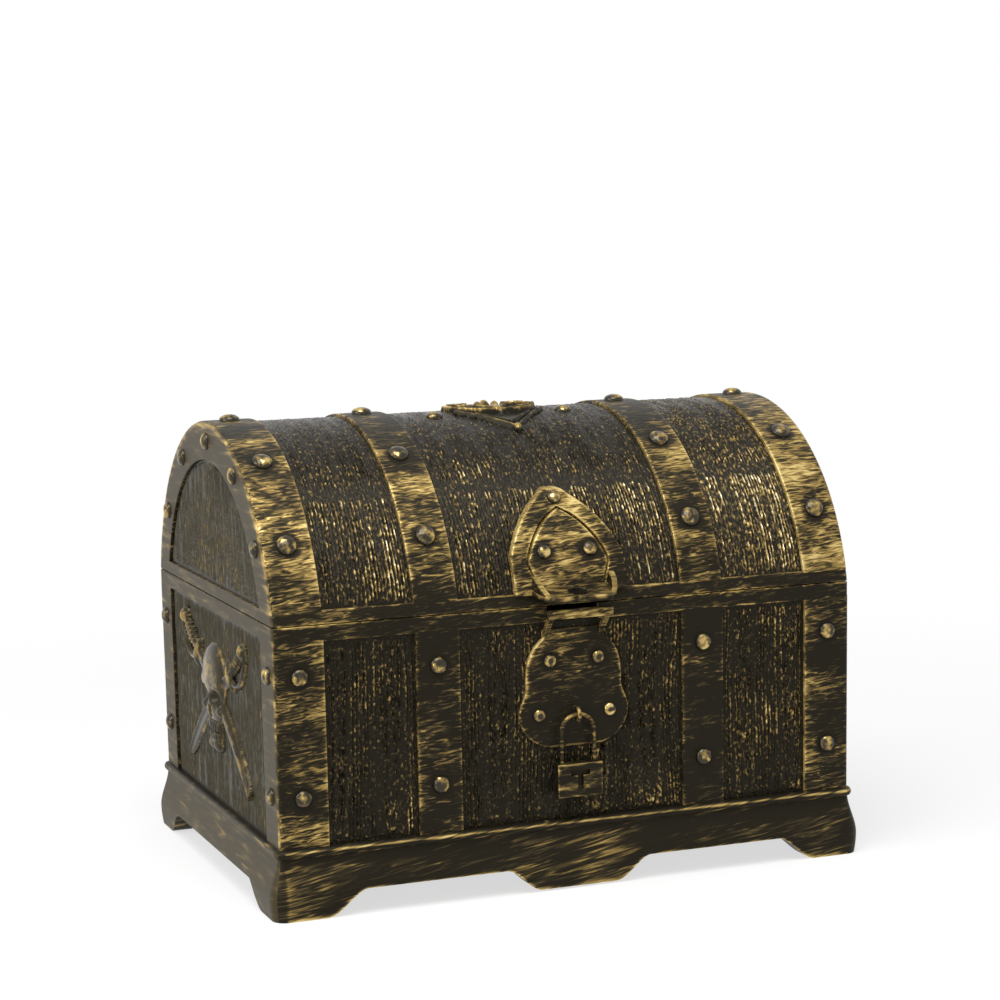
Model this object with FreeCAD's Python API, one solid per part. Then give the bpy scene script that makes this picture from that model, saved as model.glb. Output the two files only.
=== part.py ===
import FreeCAD, Part
import math
import os

V = FreeCAD.Vector
os.makedirs("parts", exist_ok=True)

# Box and lid. Lengths are in millimetres, the front faces -Y and the floor is z = 0
body_width = 146.0
body_depth = 103.2
rim_height = 67.8
lid_rise = 42.4
wall = 2.0
floor_thickness = 2.0
panel_recess = 0.9
corner_round = 1.2
inner_round = 1.5
seam_gap = 0.2
cut_overrun = 3.0

# Plinth with bracket feet
plinth_height = 16.5
plinth_ledge = 2.6
tub_floor_height = 9.5
bead_height = 2.2
bead_proud = 1.2
neck_height = 1.0
swell_height = 5.0
swell_proud = 2.5
swell_middle_share = 0.72
foot_proud = 2.0
foot_width = 12.2
foot_curve = 10.2
arch_height = 6.1
side_foot_width = 11.8
side_foot_curve = 9.0
drop_half_width = 9.5
drop_curve = 9.0
drop_clearance = 0.5
ogee_bulge_share = 0.09

# Straps, bands and the nail heads on them
rim_band_height = 3.7
lid_rim_band_height = 3.2
strap_offset = 33.65
strap_width = 10.7
corner_strap_width = 12.0
corner_post_width = 10.6
end_frame_width = 9.4
stud_radius = 2.1
stud_rise = 1.3
stud_inset = 11.6
lid_stud_radius = 2.5
lid_stud_rise = 1.5
lid_stud_angles = (-58, -31, 0, 31, 58)
end_stud_angles = (-56, -29, 0, 29, 56)
stud_facets = 8
stud_shoulder_share = 0.55
stud_shoulder_radius_share = 0.84
stud_top_radius_share = 0.42

# Lock plate, catch loop and staple on the front of the box
plate_proud = 0.3
plate_drop = 33.6
plate_lobe_half = 13.9
plate_flat_share = 0.36
plate_lobe_share = 0.756
plate_waist_shares = (0.87, 0.571)
plate_bend_shares = (0.82, 0.369)
plate_shoulder_share = 0.22
plate_stud_radius = 1.6
plate_stud_rise = 1.1
plate_upper_stud_shares = (0.44, 0.381)
plate_lower_stud_shares = (0.647, 0.765)
notch_half_width = 6.5
notch_depth = 5.6
post_width = 1.2
bar_height = 2.2
bar_depth = 1.6
bar_reach = 5.4
bar_drop = 0.2
bar_overhang = 0.4
bar_bevel = 0.45
eye_drop_share = 0.768
eye_wire = 0.5
eye_sink = 0.2
eye_clearance = 0.4

# Hasp on the lid: a pointed frame round a shield that bends out into a pierced tab
hasp_proud = 0.9
hasp_rise = 26.1
hasp_half = 14.2
hasp_tip_shares = (0.254, 0.954)
hasp_flank_shares = (0.718, 0.72)
hasp_half_share = 0.437
frame_side = 4.2
frame_top = 4.4
shield_flank_shares = (0.64, 0.765)
shield_half_share = 0.452
shield_foot_share = 0.74
shield_gap = 0.35
tab_reach = 5.3
tab_root_rise = 4.6
tab_slope = 12.0
tab_thickness = 1.5
tab_root_half = 10.2
tab_front_half = 6.2
tab_straight_share = 0.2
tab_hole_radius = 2.35
tab_hole_share = 0.55
ear_height = 2.8
ear_width = 1.3
hasp_stud_radius = 1.8
hasp_stud_rise = 1.2
hasp_top_stud_inset = 2.0
hasp_side_stud_shares = (0.58, 0.571)

# Padlock hung from the staple
shackle_wire = 0.55
wire_facets = 6
bend_steps = 12
shackle_half_width = 4.05
shackle_seat = 2.0
case_width = 11.6
case_height = 8.2
case_depth = 3.0
case_bevel = 0.5
case_drop = 11.4
leg_clearance = 0.05
keyhole_width = 4.9
keyhole_height = 4.5
keyhole_bar = 1.3
keyhole_stem = 1.5
keyhole_depth = 0.8
keyhole_drop = 1.7

# Knuckle hinges behind the seam
knuckle_radius = 2.2
knuckle_clearance = 0.4
knuckle_gap = 0.3
lid_knuckle_share = 0.4
leaf_thickness = 1.0
leaf_height = 8.0
pin_radius = 1.0
pin_fit = 0.02
pin_running_clearance = 0.05

# Relief of a skull over crossed sabres on the ends of the box
emblem_width = 53.0
emblem_margin = 5.55
emblem_relief = 1.2
emblem_lift = 1.7
blade_width_share = 0.105
blade_bend_share = 0.06
hilt_length_share = 0.17
hilt_width_share = 0.06
guard_width_share = 0.2
guard_length_share = 0.045
skull_facets = 12
skull_radius_share = 0.25
skull_middle_share = 0.15
skull_rise = 2.0
skull_shoulder_share = 0.6
skull_shoulder_radius_share = 0.82
skull_top_radius_share = 0.45
jaw_half_share = 0.15
jaw_drop_share = 0.4
jaw_rise_share = 0.6
jaw_bevel_share = 0.35
socket_radius_share = 0.075
socket_offset_share = 0.105
socket_drop_share = 0.05
nose_half_share = 0.035
nose_drop_share = 0.16

# Crest on the crown of the lid: a pointed shield with two leaves and a boss, and a stud on each side
crest_half_width = 12.5
crest_front = 21.4
crest_back = 9.0
crest_relief = 0.8
crest_dip_share = 0.55
crest_lobe_shares = (0.62, 1.0)
crest_end_share = 0.35
crest_flank_shares = (0.68, 0.54)
leaf_relief = 1.9
leaf_front_shares = (0.1, 0.62)
leaf_back_shares = (0.86, 0.4)
leaf_swell_share = 0.13
boss_radius = 4.2
boss_rise = 3.1
crest_stud_offset = 17.0
crest_stud_angle = 7.0

# Worked out from the sizes above
half_width = body_width / 2
half_depth = body_depth / 2
core_half_width = half_width - panel_recess
core_half_depth = half_depth - panel_recess
seam_height = rim_height + seam_gap
lid_radius = (half_depth**2 + lid_rise**2) / (2 * lid_rise)
lid_axis_height = rim_height + lid_rise - lid_radius
core_radius = lid_radius - panel_recess
lid_rim_top = rim_height + lid_rim_band_height
rim_band_bottom = rim_height - rim_band_height
notch_bottom = rim_height - notch_depth
eye_height = rim_height - plate_drop * eye_drop_share
shield_half = hasp_half - frame_side
shield_rise = hasp_rise - frame_top
tab_root_height = rim_height + tab_root_rise
emblem_height = rim_band_bottom - plinth_height - 2 * emblem_margin
plate_front = half_depth + plate_proud
eye_ring = shackle_wire + eye_clearance + eye_wire
eye_reach = plate_front + eye_ring + eye_wire - eye_sink
case_top = eye_height - case_drop
hinge_axis_y = half_depth + knuckle_radius + knuckle_clearance
hinge_axis_z = rim_height + seam_gap / 2
far = body_width + body_depth + rim_height + lid_rise
quarter_share = math.sqrt(0.5)
sides = {"left": -1, "right": 1}

# The frame's origin is under the middle of the whole box of the part, from tab to hinge knuckles
front_reach = lid_radius + hasp_proud + tab_reach
back_reach = hinge_axis_y + knuckle_radius
centre_shift = (front_reach - back_reach) / 2


def front_plane(u, w):
    return V(u, 0, w)


def side_plane(u, w):
    return V(0, u, w)


def top_plane(u, w):
    return V(u, w, 0)


def edges_along(plane, steps, sign=1):
    """Edges through steps: a step is an end point, or a middle and an end point for an arc."""
    edges = []
    here = plane(sign * steps[0][0], steps[0][1])
    for step in steps[1:]:
        if isinstance(step[0], tuple):
            middle, end = [plane(sign * u, w) for u, w in step]
            edges.append(Part.Arc(here, middle, end).toShape())
        else:
            end = plane(sign * step[0], step[1])
            edges.append(Part.LineSegment(here, end).toShape())
        here = end
    return edges


def closed_face(plane, steps):
    edges = edges_along(plane, steps + [steps[0]])
    return Part.Face(Part.Wire(edges))


def mirrored_face(plane, half_steps):
    """A face from its right half, whose first and last steps lie on the middle line."""
    edges = edges_along(plane, half_steps) + edges_along(plane, half_steps, -1)
    return Part.Face(Part.Wire(Part.__sortEdges__(edges)))


def slab(low, high):
    size = [b - a for a, b in zip(low, high)]
    return Part.makeBox(size[0], size[1], size[2], V(*low))


def upright_block(half_x, half_y, bottom, top, corner):
    """A block round the Z axis with rounded upright edges."""
    block = slab((-half_x, -half_y, bottom), (half_x, half_y, top))
    upright = [edge for edge in block.Edges if edge.BoundBox.XLength + edge.BoundBox.YLength < corner]
    return block.makeFillet(corner, upright)


def fused(shapes):
    return shapes[0].multiFuse(shapes[1:]).removeSplitter()


def lid_cylinder(radius, half_length):
    return Part.makeCylinder(radius, 2 * half_length, V(-half_length, 0, lid_axis_height), V(1, 0, 0))


def lid_point(x, radius, angle):
    """A point on the lid: angle in degrees from the top, positive towards the front."""
    turn = math.radians(angle)
    return V(x, -radius * math.sin(turn), lid_axis_height + radius * math.cos(turn))


def stand(shape, point, direction):
    """Put a shape that was made standing on z = 0 at a point, with its Z axis along a direction."""
    return shape.transformed(FreeCAD.Placement(point, FreeCAD.Rotation(V(0, 0, 1), direction)).toMatrix())


def corners(radius, facets, height):
    """The corners of a regular polygon round the Z axis, the first one twice."""
    turns = [2 * math.pi * step / facets for step in range(facets + 1)]
    return [V(radius * math.cos(turn), radius * math.sin(turn), height) for turn in turns]


def flat_face(points):
    return Part.Face(Part.makePolygon(points))


def skinned(sections):
    """A solid of flat facets through sections. It is capped, unless it comes back to its first section."""
    faces = [] if sections[0] is sections[-1] else [flat_face(sections[0]), flat_face(sections[-1])]
    for near, away in zip(sections, sections[1:]):
        for step in range(len(near) - 1):
            faces.append(flat_face([near[step], near[step + 1], away[step + 1], away[step], near[step]]))
    return Part.Solid(Part.Shell(faces))


def faceted_dome(radius, facets, levels):
    """A dome of flat facets: levels are heights with the share of the radius at each."""
    return skinned([corners(radius * share, facets, height) for height, share in levels])


def stud(radius, rise):
    """A domed nail head standing on z = 0."""
    return faceted_dome(radius, stud_facets, [
        (0, 1), (rise * stud_shoulder_share, stud_shoulder_radius_share), (rise, stud_top_radius_share)])


def lid_stud(x, angle, radius, rise, seat_radius):
    """A nail head that stands square to a curved surface of the lid."""
    turn = math.radians(angle)
    outwards = V(0, -math.sin(turn), math.cos(turn))
    return stand(stud(radius, rise), lid_point(x, seat_radius, angle), outwards)


# The box

def notch():
    """The gap in the front rim behind the catch loop."""
    return slab((-notch_half_width, -half_depth - cut_overrun, notch_bottom),
                (notch_half_width, -core_half_depth + wall + cut_overrun, rim_height + cut_overrun))


def body_core(bottom, top):
    return slab((-core_half_width, -core_half_depth, bottom), (core_half_width, core_half_depth, top))


def body_skin(bottom, top):
    """The layer between the recessed boards and the faces of the straps."""
    return upright_block(half_width, half_depth, bottom, top, corner_round).cut(
        body_core(bottom - cut_overrun, top + cut_overrun))


def tub():
    hollow = upright_block(core_half_width - wall, core_half_depth - wall,
                           tub_floor_height + floor_thickness, rim_height + cut_overrun, inner_round)
    return body_core(tub_floor_height, rim_height).cut(hollow).cut(notch())


def plinth_section(plane, half):
    """Full section of the plinth: bead, neck and swelling skirt on both sides."""
    bead_bottom = plinth_height - bead_height
    swell_top = bead_bottom - neck_height
    bead_middle = (half + bead_proud, plinth_height - bead_height / 2)
    swell_middle = (half + swell_proud * swell_middle_share, (swell_top + swell_height) / 2)
    return mirrored_face(plane, [
        (0, plinth_height),
        (half, plinth_height),
        (bead_middle, (half, bead_bottom)),
        (half, swell_top),
        (swell_middle, (half + swell_proud, swell_height)),
        (half + foot_proud, 0),
        (0, 0)])


def ogee(start, end):
    """Two arcs that bend opposite ways from start to end."""
    middle = ((start[0] + end[0]) / 2, (start[1] + end[1]) / 2)
    bulge = ((end[1] - start[1]) * ogee_bulge_share, (start[0] - end[0]) * ogee_bulge_share)
    lower = ((start[0] + middle[0]) / 2 - bulge[0], (start[1] + middle[1]) / 2 - bulge[1])
    upper = ((end[0] + middle[0]) / 2 + bulge[0], (end[1] + middle[1]) / 2 + bulge[1])
    return [(lower, middle), (upper, end)]


def front_arches():
    """The two arches of the front and back, with the drop between them."""
    foot_end = half_width + foot_proud - foot_width
    drop_end = drop_half_width + drop_curve
    half_steps = [
        (0, drop_clearance),
        (drop_half_width, drop_clearance),
        *ogee((drop_half_width, drop_clearance), (drop_end, arch_height)),
        (foot_end - foot_curve, arch_height),
        *ogee((foot_end - foot_curve, arch_height), (foot_end, 0)),
        (foot_end, -cut_overrun),
        (0, -cut_overrun)]
    face = mirrored_face(front_plane, half_steps)
    return face.extrude(V(0, 2 * far, 0)).translated(V(0, -far, 0))


def side_arch():
    foot_end = half_depth + foot_proud - side_foot_width
    half_steps = [
        (0, arch_height),
        (foot_end - side_foot_curve, arch_height),
        *ogee((foot_end - side_foot_curve, arch_height), (foot_end, 0)),
        (foot_end, -cut_overrun),
        (0, -cut_overrun)]
    face = mirrored_face(side_plane, half_steps)
    return face.extrude(V(2 * far, 0, 0)).translated(V(-far, 0, 0))


def plinth():
    """The moulded skirt, mitred at the corners, with a ledge inside that carries the tub."""
    along_y = plinth_section(front_plane, half_width).extrude(V(0, 2 * far, 0)).translated(V(0, -far, 0))
    along_x = plinth_section(side_plane, half_depth).extrude(V(2 * far, 0, 0)).translated(V(-far, 0, 0))
    seat = body_core(tub_floor_height, plinth_height + cut_overrun)
    ledge_half_x = core_half_width - plinth_ledge
    ledge_half_y = core_half_depth - plinth_ledge
    under = slab((-ledge_half_x, -ledge_half_y, -cut_overrun),
                 (ledge_half_x, ledge_half_y, tub_floor_height + cut_overrun))
    return along_y.common(along_x).cut(seat).cut(under).cut(front_arches()).cut(side_arch())


def rim_band():
    return body_skin(rim_band_bottom, rim_height).cut(notch())


def strap(side, facing):
    """A flat strap on the front (facing -1) or back (facing 1) of the box."""
    skin = body_skin(plinth_height, rim_band_bottom)
    low_x = side * strap_offset - strap_width / 2
    low_y, high_y = sorted((0, facing * far))
    return skin.common(slab((low_x, low_y, 0), (low_x + strap_width, high_y, far)))


def corner_strap(side, facing):
    """An angle strap that wraps an upright corner of the box."""
    skin = body_skin(plinth_height, rim_band_bottom)
    low_x, high_x = sorted((side * (half_width - corner_strap_width), side * far))
    low_y, high_y = sorted((facing * (half_depth - corner_post_width), facing * far))
    return skin.common(slab((low_x, low_y, 0), (high_x, high_y, far)))


def stud_heights():
    return (plinth_height + stud_inset, rim_height - stud_inset)


def wall_studs(facing):
    """Nail heads on the straps of the front (facing -1) or back (facing 1)."""
    offsets = (strap_offset, half_width - corner_strap_width / 2)
    head = stud(stud_radius, stud_rise)
    places = [V(side * offset, facing * half_depth, height)
              for side in sides.values() for offset in offsets for height in stud_heights()]
    return Part.makeCompound([stand(head, place, V(0, facing, 0)) for place in places])


def end_studs(side):
    offset = half_depth - corner_post_width / 2
    head = stud(stud_radius, stud_rise)
    places = [V(side * half_width, facing * offset, height)
              for facing in (-1, 1) for height in stud_heights()]
    return Part.makeCompound([stand(head, place, V(side, 0, 0)) for place in places])


# The lock plate and what is on it

def plate_point(shares):
    """A point of the lock plate: shares of its widest half and of its drop below the rim."""
    return (plate_lobe_half * shares[0], rim_height - plate_drop * shares[1])


def shoulder_height():
    return rim_height - plate_drop * plate_shoulder_share


def lock_plate():
    bottom = rim_height - plate_drop
    flat_half = plate_lobe_half * plate_flat_share
    lobe = plate_point((1, plate_lobe_share))
    waist = plate_point(plate_waist_shares)
    lobe_middle = (flat_half + (lobe[0] - flat_half) * quarter_share,
                   lobe[1] - (lobe[1] - bottom) * quarter_share)
    flank_middle = (waist[0] + (lobe[0] - waist[0]) * quarter_share, (lobe[1] + waist[1]) / 2)
    neck_half = notch_half_width + post_width
    outline = mirrored_face(front_plane, [
        (0, bottom),
        (flat_half, bottom),
        (lobe_middle, lobe),
        (flank_middle, waist),
        (plate_point(plate_bend_shares), (neck_half, shoulder_height())),
        (neck_half, notch_bottom),
        (0, notch_bottom)])
    return outline.extrude(V(0, plate_proud + panel_recess, 0)).translated(V(0, -plate_front, 0))


def lock_plate_studs():
    head = stud(plate_stud_radius, plate_stud_rise)
    spots = [plate_point(shares) for shares in (plate_upper_stud_shares, plate_lower_stud_shares)]
    places = [V(side * x, -plate_front, z) for side in sides.values() for x, z in spots]
    return Part.makeCompound([stand(head, place, V(0, -1, 0)) for place in places])


def catch_loop():
    """A bar in front of the rim, carried by two posts that lean out from the neck of the plate."""
    bar_front = -half_depth - bar_reach
    bar_back = bar_front + bar_depth
    bar_top = rim_height - bar_drop
    bar_bottom = bar_top - bar_height
    bar_half = notch_half_width + post_width + bar_overhang
    bar = slab((-bar_half, bar_front, bar_bottom), (bar_half, bar_back, bar_top))
    long_edges = [edge for edge in bar.Edges if edge.BoundBox.XLength > bar_half]
    bar = bar.makeChamfer(bar_bevel, long_edges)
    post_face = closed_face(side_plane, [
        (-plate_front, shoulder_height()),
        (bar_front + bar_bevel, bar_bottom + bar_height / 2),
        (bar_back, bar_bottom + bar_height / 2),
        (-plate_front, notch_bottom)])
    posts = [post_face.extrude(V(post_width, 0, 0)).translated(V(low_x, 0, 0))
             for low_x in (-notch_half_width - post_width, notch_half_width)]
    return fused([bar] + posts)


def wire_bend(radius, centre, offset, axis, sweep):
    """Sections of a wire that rises beside a centre and bends round an axis through it."""
    start = [centre + offset + point for point in corners(radius, wire_facets, 0)]
    turns = [FreeCAD.Rotation(axis, sweep * step / bend_steps) for step in range(bend_steps + 1)]
    return [[centre + turn.multVec(point - centre) for point in start] for turn in turns]


def staple():
    """The eye that the padlock hangs from, flattened where it meets the plate."""
    bend = wire_bend(eye_wire, V(0, -eye_reach, eye_height), V(0, eye_ring, 0), V(1, 0, 0), 360)
    ring = skinned(bend[:-1] + bend[:1])
    behind_plate = slab((-far, -plate_front, 0), (far, far, far))
    return ring.cut(behind_plate)


# The padlock

def padlock_shackle():
    bend_height = eye_height - shackle_half_width
    bend_centre = V(0, -eye_reach, bend_height)
    bend = wire_bend(shackle_wire, bend_centre, V(shackle_half_width, 0, 0), V(0, -1, 0), 180)
    leg = V(0, 0, bend_height - case_top + shackle_seat)
    feet = [[point - leg for point in section] for section in (bend[0], bend[-1])]
    return skinned(feet[:1] + bend + feet[1:])


def padlock_case():
    half = case_width / 2
    front = -eye_reach - case_depth / 2
    block = slab((-half, front, case_top - case_height), (half, front + case_depth, case_top))
    case = block.makeChamfer(case_bevel, block.Edges)
    for side in sides.values():
        hole = flat_face(corners(shackle_wire + leg_clearance, wire_facets, case_top - shackle_seat))
        hole.translate(V(side * shackle_half_width, -eye_reach, 0))
        case = case.cut(hole.extrude(V(0, 0, shackle_seat + cut_overrun)))
    key_top = case_top - keyhole_drop
    key_bar = slab((-keyhole_width / 2, front - cut_overrun, key_top - keyhole_bar),
                   (keyhole_width / 2, front + keyhole_depth, key_top))
    key_stem = slab((-keyhole_stem / 2, front - cut_overrun, key_top - keyhole_height),
                    (keyhole_stem / 2, front + keyhole_depth, key_top))
    return case.cut(key_bar.fuse(key_stem))


# The lid

def above(height):
    return slab((-far, -far, height), (far, far, far))


def lid_envelope():
    """The outside of the lid's bands, with the edges of its round ends eased."""
    barrel = lid_cylinder(lid_radius, half_width)
    round_edges = [edge for edge in barrel.Edges if edge.BoundBox.XLength < corner_round]
    return barrel.makeChamfer(corner_round, round_edges)


def lid_skin():
    return lid_envelope().cut(lid_cylinder(core_radius, core_half_width))


def lid_shell():
    outside = lid_cylinder(core_radius, core_half_width)
    hollow = lid_cylinder(core_radius - wall, core_half_width - wall)
    return outside.cut(hollow).common(above(seam_height))


def lid_rim_band():
    ring = slab((-far, -far, seam_height), (far, far, lid_rim_top))
    return lid_skin().common(ring)


def lid_band(side):
    low_x = side * strap_offset - strap_width / 2
    return lid_skin().common(slab((low_x, -far, lid_rim_top), (low_x + strap_width, far, far)))


def lid_corner_band(side):
    """The band over an end edge of the lid, with a flange that frames the arched end."""
    low_x, high_x = sorted((side * (half_width - corner_strap_width), side * far))
    band = lid_skin().common(slab((low_x, -far, lid_rim_top), (high_x, far, far)))
    return band.cut(lid_cylinder(lid_radius - end_frame_width, far))


def lid_band_studs():
    corner_offset = half_width - corner_strap_width / 2
    return Part.makeCompound([
        lid_stud(side * offset, angle, lid_stud_radius, lid_stud_rise, lid_radius)
        for side in sides.values() for offset in (strap_offset, corner_offset) for angle in lid_stud_angles])


def lid_end_studs(side):
    circle = lid_radius - end_frame_width / 2
    head = stud(stud_radius, stud_rise)
    return Part.makeCompound([stand(head, lid_point(side * half_width, circle, angle), V(side, 0, 0))
                              for angle in end_stud_angles])


# The hasp

def front_of_lid(outline, outer_radius):
    """A plate that follows the curve of the lid's front inside an outline seen from the front."""
    block = outline.extrude(V(0, -far, 0))
    return block.common(lid_cylinder(outer_radius, far)).cut(lid_cylinder(core_radius, far))


def shield_outline(gap):
    """The shield, or with a gap the opening in the frame round it."""
    flank = (shield_half * shield_flank_shares[0] + gap, rim_height + shield_rise * shield_flank_shares[1])
    half_steps = [
        (0, rim_height + shield_rise + gap),
        (flank, (shield_half + gap, rim_height + shield_rise * shield_half_share)),
        (shield_half * shield_foot_share + gap, lid_rim_top),
        (0, lid_rim_top)]
    return mirrored_face(front_plane, half_steps)


def hasp_frame():
    top = rim_height + hasp_rise
    tip = (hasp_half * hasp_tip_shares[0], rim_height + hasp_rise * hasp_tip_shares[1])
    tip_middle = (tip[0] * quarter_share, top - (top - tip[1]) * (1 - quarter_share))
    flank = (hasp_half * hasp_flank_shares[0], rim_height + hasp_rise * hasp_flank_shares[1])
    outline = mirrored_face(front_plane, [
        (0, top),
        (tip_middle, tip),
        (flank, (hasp_half, rim_height + hasp_rise * hasp_half_share)),
        (hasp_half, lid_rim_top),
        (0, lid_rim_top)])
    opening = shield_outline(shield_gap).extrude(V(0, -far, 0))
    return front_of_lid(outline, lid_radius + hasp_proud).cut(opening)


def hasp_tab():
    """The tab: a sloping plate with rounded front corners, a hole, and an upright ear at each side."""
    root = lid_radius + hasp_proud
    root_y = -root * math.sin(math.acos((tab_root_height - lid_axis_height) / root))
    front_y = -front_reach
    straight_y = root_y + (front_y - root_y) * tab_straight_share
    corner_middle = (tab_front_half + (tab_root_half - tab_front_half) * quarter_share,
                     front_y + (straight_y - front_y) * (1 - quarter_share))
    plan = mirrored_face(top_plane, [
        (0, 0),
        (tab_root_half, 0),
        (tab_root_half, straight_y),
        (corner_middle, (tab_front_half, front_y)),
        (0, front_y)])
    plan_block = plan.extrude(V(0, 0, far))
    fall = math.tan(math.radians(tab_slope))
    deep = tab_thickness / math.cos(math.radians(tab_slope))
    front_top = tab_root_height + (front_y - root_y) * fall
    back_top = tab_root_height - root_y * fall
    profile = closed_face(side_plane, [
        (0, back_top), (front_y, front_top), (front_y, front_top - deep), (0, back_top - deep)])
    plate = profile.extrude(V(2 * far, 0, 0)).translated(V(-far, 0, 0)).common(plan_block)
    ear_front = root_y + (front_y - root_y) * tab_hole_share
    ear_back = root_y + ear_height
    ear_top = tab_root_height + ear_height
    ear_front_top = tab_root_height + (ear_front - root_y) * fall
    ear_back_bottom = tab_root_height + (ear_back - root_y) * fall - deep
    ear_face = closed_face(side_plane, [
        (ear_back, ear_back_bottom), (ear_front, ear_front_top - deep), (ear_front, ear_front_top),
        (root_y, ear_top), (ear_back, ear_top)])
    ears = [ear_face.extrude(V(ear_width, 0, 0)).translated(V(low_x, 0, 0))
            for low_x in (-tab_root_half, tab_root_half - ear_width)]
    slope_normal = V(0, -math.sin(math.radians(tab_slope)), math.cos(math.radians(tab_slope)))
    hole_y = root_y + (front_y - root_y) * tab_hole_share
    hole_centre = V(0, hole_y, tab_root_height + (hole_y - root_y) * fall)
    hole = Part.makeCylinder(tab_hole_radius, 2 * far, hole_centre - slope_normal * far, slope_normal)
    return fused([plate] + ears).cut(hole).cut(lid_cylinder(root, far))


def hasp_leaf():
    """The shield and the tab, one bent plate."""
    shield = front_of_lid(shield_outline(0), lid_radius + hasp_proud)
    return fused([shield, hasp_tab()])


def hasp_angle(height):
    return math.degrees(math.acos((height - lid_axis_height) / (lid_radius + hasp_proud)))


def hasp_studs():
    seat = lid_radius + hasp_proud
    across, up = hasp_side_stud_shares
    places = [(0, rim_height + hasp_rise - hasp_top_stud_inset)]
    places += [(side * shield_half * across, rim_height + shield_rise * up) for side in sides.values()]
    return Part.makeCompound([lid_stud(x, hasp_angle(height), hasp_stud_radius, hasp_stud_rise, seat)
                              for x, height in places])


# The hinges

def knuckle(low_x, length, bore):
    barrel = Part.makeCylinder(knuckle_radius, length, V(low_x, hinge_axis_y, hinge_axis_z), V(1, 0, 0))
    hole = Part.makeCylinder(bore, 2 * far, V(-far, hinge_axis_y, hinge_axis_z), V(1, 0, 0))
    return barrel, hole


def hinge_spans(side):
    """Where the two box knuckles and the lid knuckle between them lie along X."""
    low_x = side * strap_offset - strap_width / 2
    lid_length = strap_width * lid_knuckle_share
    body_length = (strap_width - lid_length) / 2 - knuckle_gap
    lid_low = low_x + body_length + knuckle_gap
    return [(low_x, body_length), (lid_low + lid_length + knuckle_gap, body_length)], (lid_low, lid_length)


def hinge_leaf_body(side):
    body_spans = hinge_spans(side)[0]
    low_x = side * strap_offset - strap_width / 2
    clear = knuckle_radius + knuckle_gap
    plate_top = hinge_axis_z - clear
    leaf_back = half_depth + leaf_thickness
    pieces = [slab((low_x, half_depth, rim_height - leaf_height),
                   (low_x + strap_width, leaf_back, plate_top))]
    for start, length in body_spans:
        barrel, hole = knuckle(start, length, pin_radius + pin_fit)
        finger = slab((start, half_depth, plate_top), (start + length, leaf_back, hinge_axis_z - seam_gap))
        pieces += [finger, barrel]
    return fused(pieces).cut(hole)


def hinge_leaf_lid(side):
    lid_low, lid_length = hinge_spans(side)[1]
    low_x = side * strap_offset - strap_width / 2
    clear = knuckle_radius + knuckle_gap
    ring = lid_cylinder(lid_radius + leaf_thickness, far).cut(lid_cylinder(lid_radius, far))
    plate = ring.common(slab((low_x, 0, hinge_axis_z + clear),
                             (low_x + strap_width, far, rim_height + leaf_height)))
    finger = ring.common(slab((lid_low, 0, hinge_axis_z + seam_gap),
                              (lid_low + lid_length, far, hinge_axis_z + 2 * clear)))
    barrel, hole = knuckle(lid_low, lid_length, pin_radius + pin_running_clearance)
    return fused([plate, finger, barrel]).cut(hole)


def hinge_pin(side):
    low_x = side * strap_offset - strap_width / 2
    return Part.makeCylinder(pin_radius, strap_width, V(low_x, hinge_axis_y, hinge_axis_z), V(1, 0, 0))


# The reliefs. Each is made flat, seen from +Z, and then put in its place

def sabre(width, height, thickness, hand):
    """A curved blade with guard, grip and pommel, from an upper corner to the lower corner across."""
    length = math.hypot(width, height)
    blade = height * blade_width_share
    bend = length * blade_bend_share
    grip = length * hilt_length_share
    guard_half = height * guard_width_share / 2
    guard = length * guard_length_share
    grip_half = height * hilt_width_share
    reach = length - grip - guard
    profile = closed_face(top_plane, [
        (0, -blade / 2), ((reach / 2, -blade / 2 - bend), (reach, blade)),
        ((reach / 2, blade / 2 - bend), (0, blade / 2))])
    guard_bar = slab((-guard, -guard_half, 0), (0, guard_half, thickness))
    handle = slab((-guard - grip, -grip_half, 0), (-guard, grip_half, thickness))
    pommel = flat_face(corners(grip_half + guard / 2, stud_facets, 0)).extrude(V(0, 0, thickness))
    pommel.translate(V(-guard - grip + grip_half, 0, 0))
    flat = fused([profile.extrude(V(0, 0, thickness)), guard_bar, handle, pommel])
    turn = math.degrees(math.atan2(-height, width))
    flat.translate(V(grip + guard - length / 2, 0, 0))
    flat.rotate(V(0, 0, 0), V(0, 0, 1), turn)
    return flat if hand > 0 else flat.mirror(V(0, 0, 0), V(1, 0, 0))


def crossed_sabres(width, height, thickness):
    """Two sabres of a stated thickness, fused where they cross."""
    return fused([sabre(width, height, thickness, hand) for hand in (1, -1)])


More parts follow.
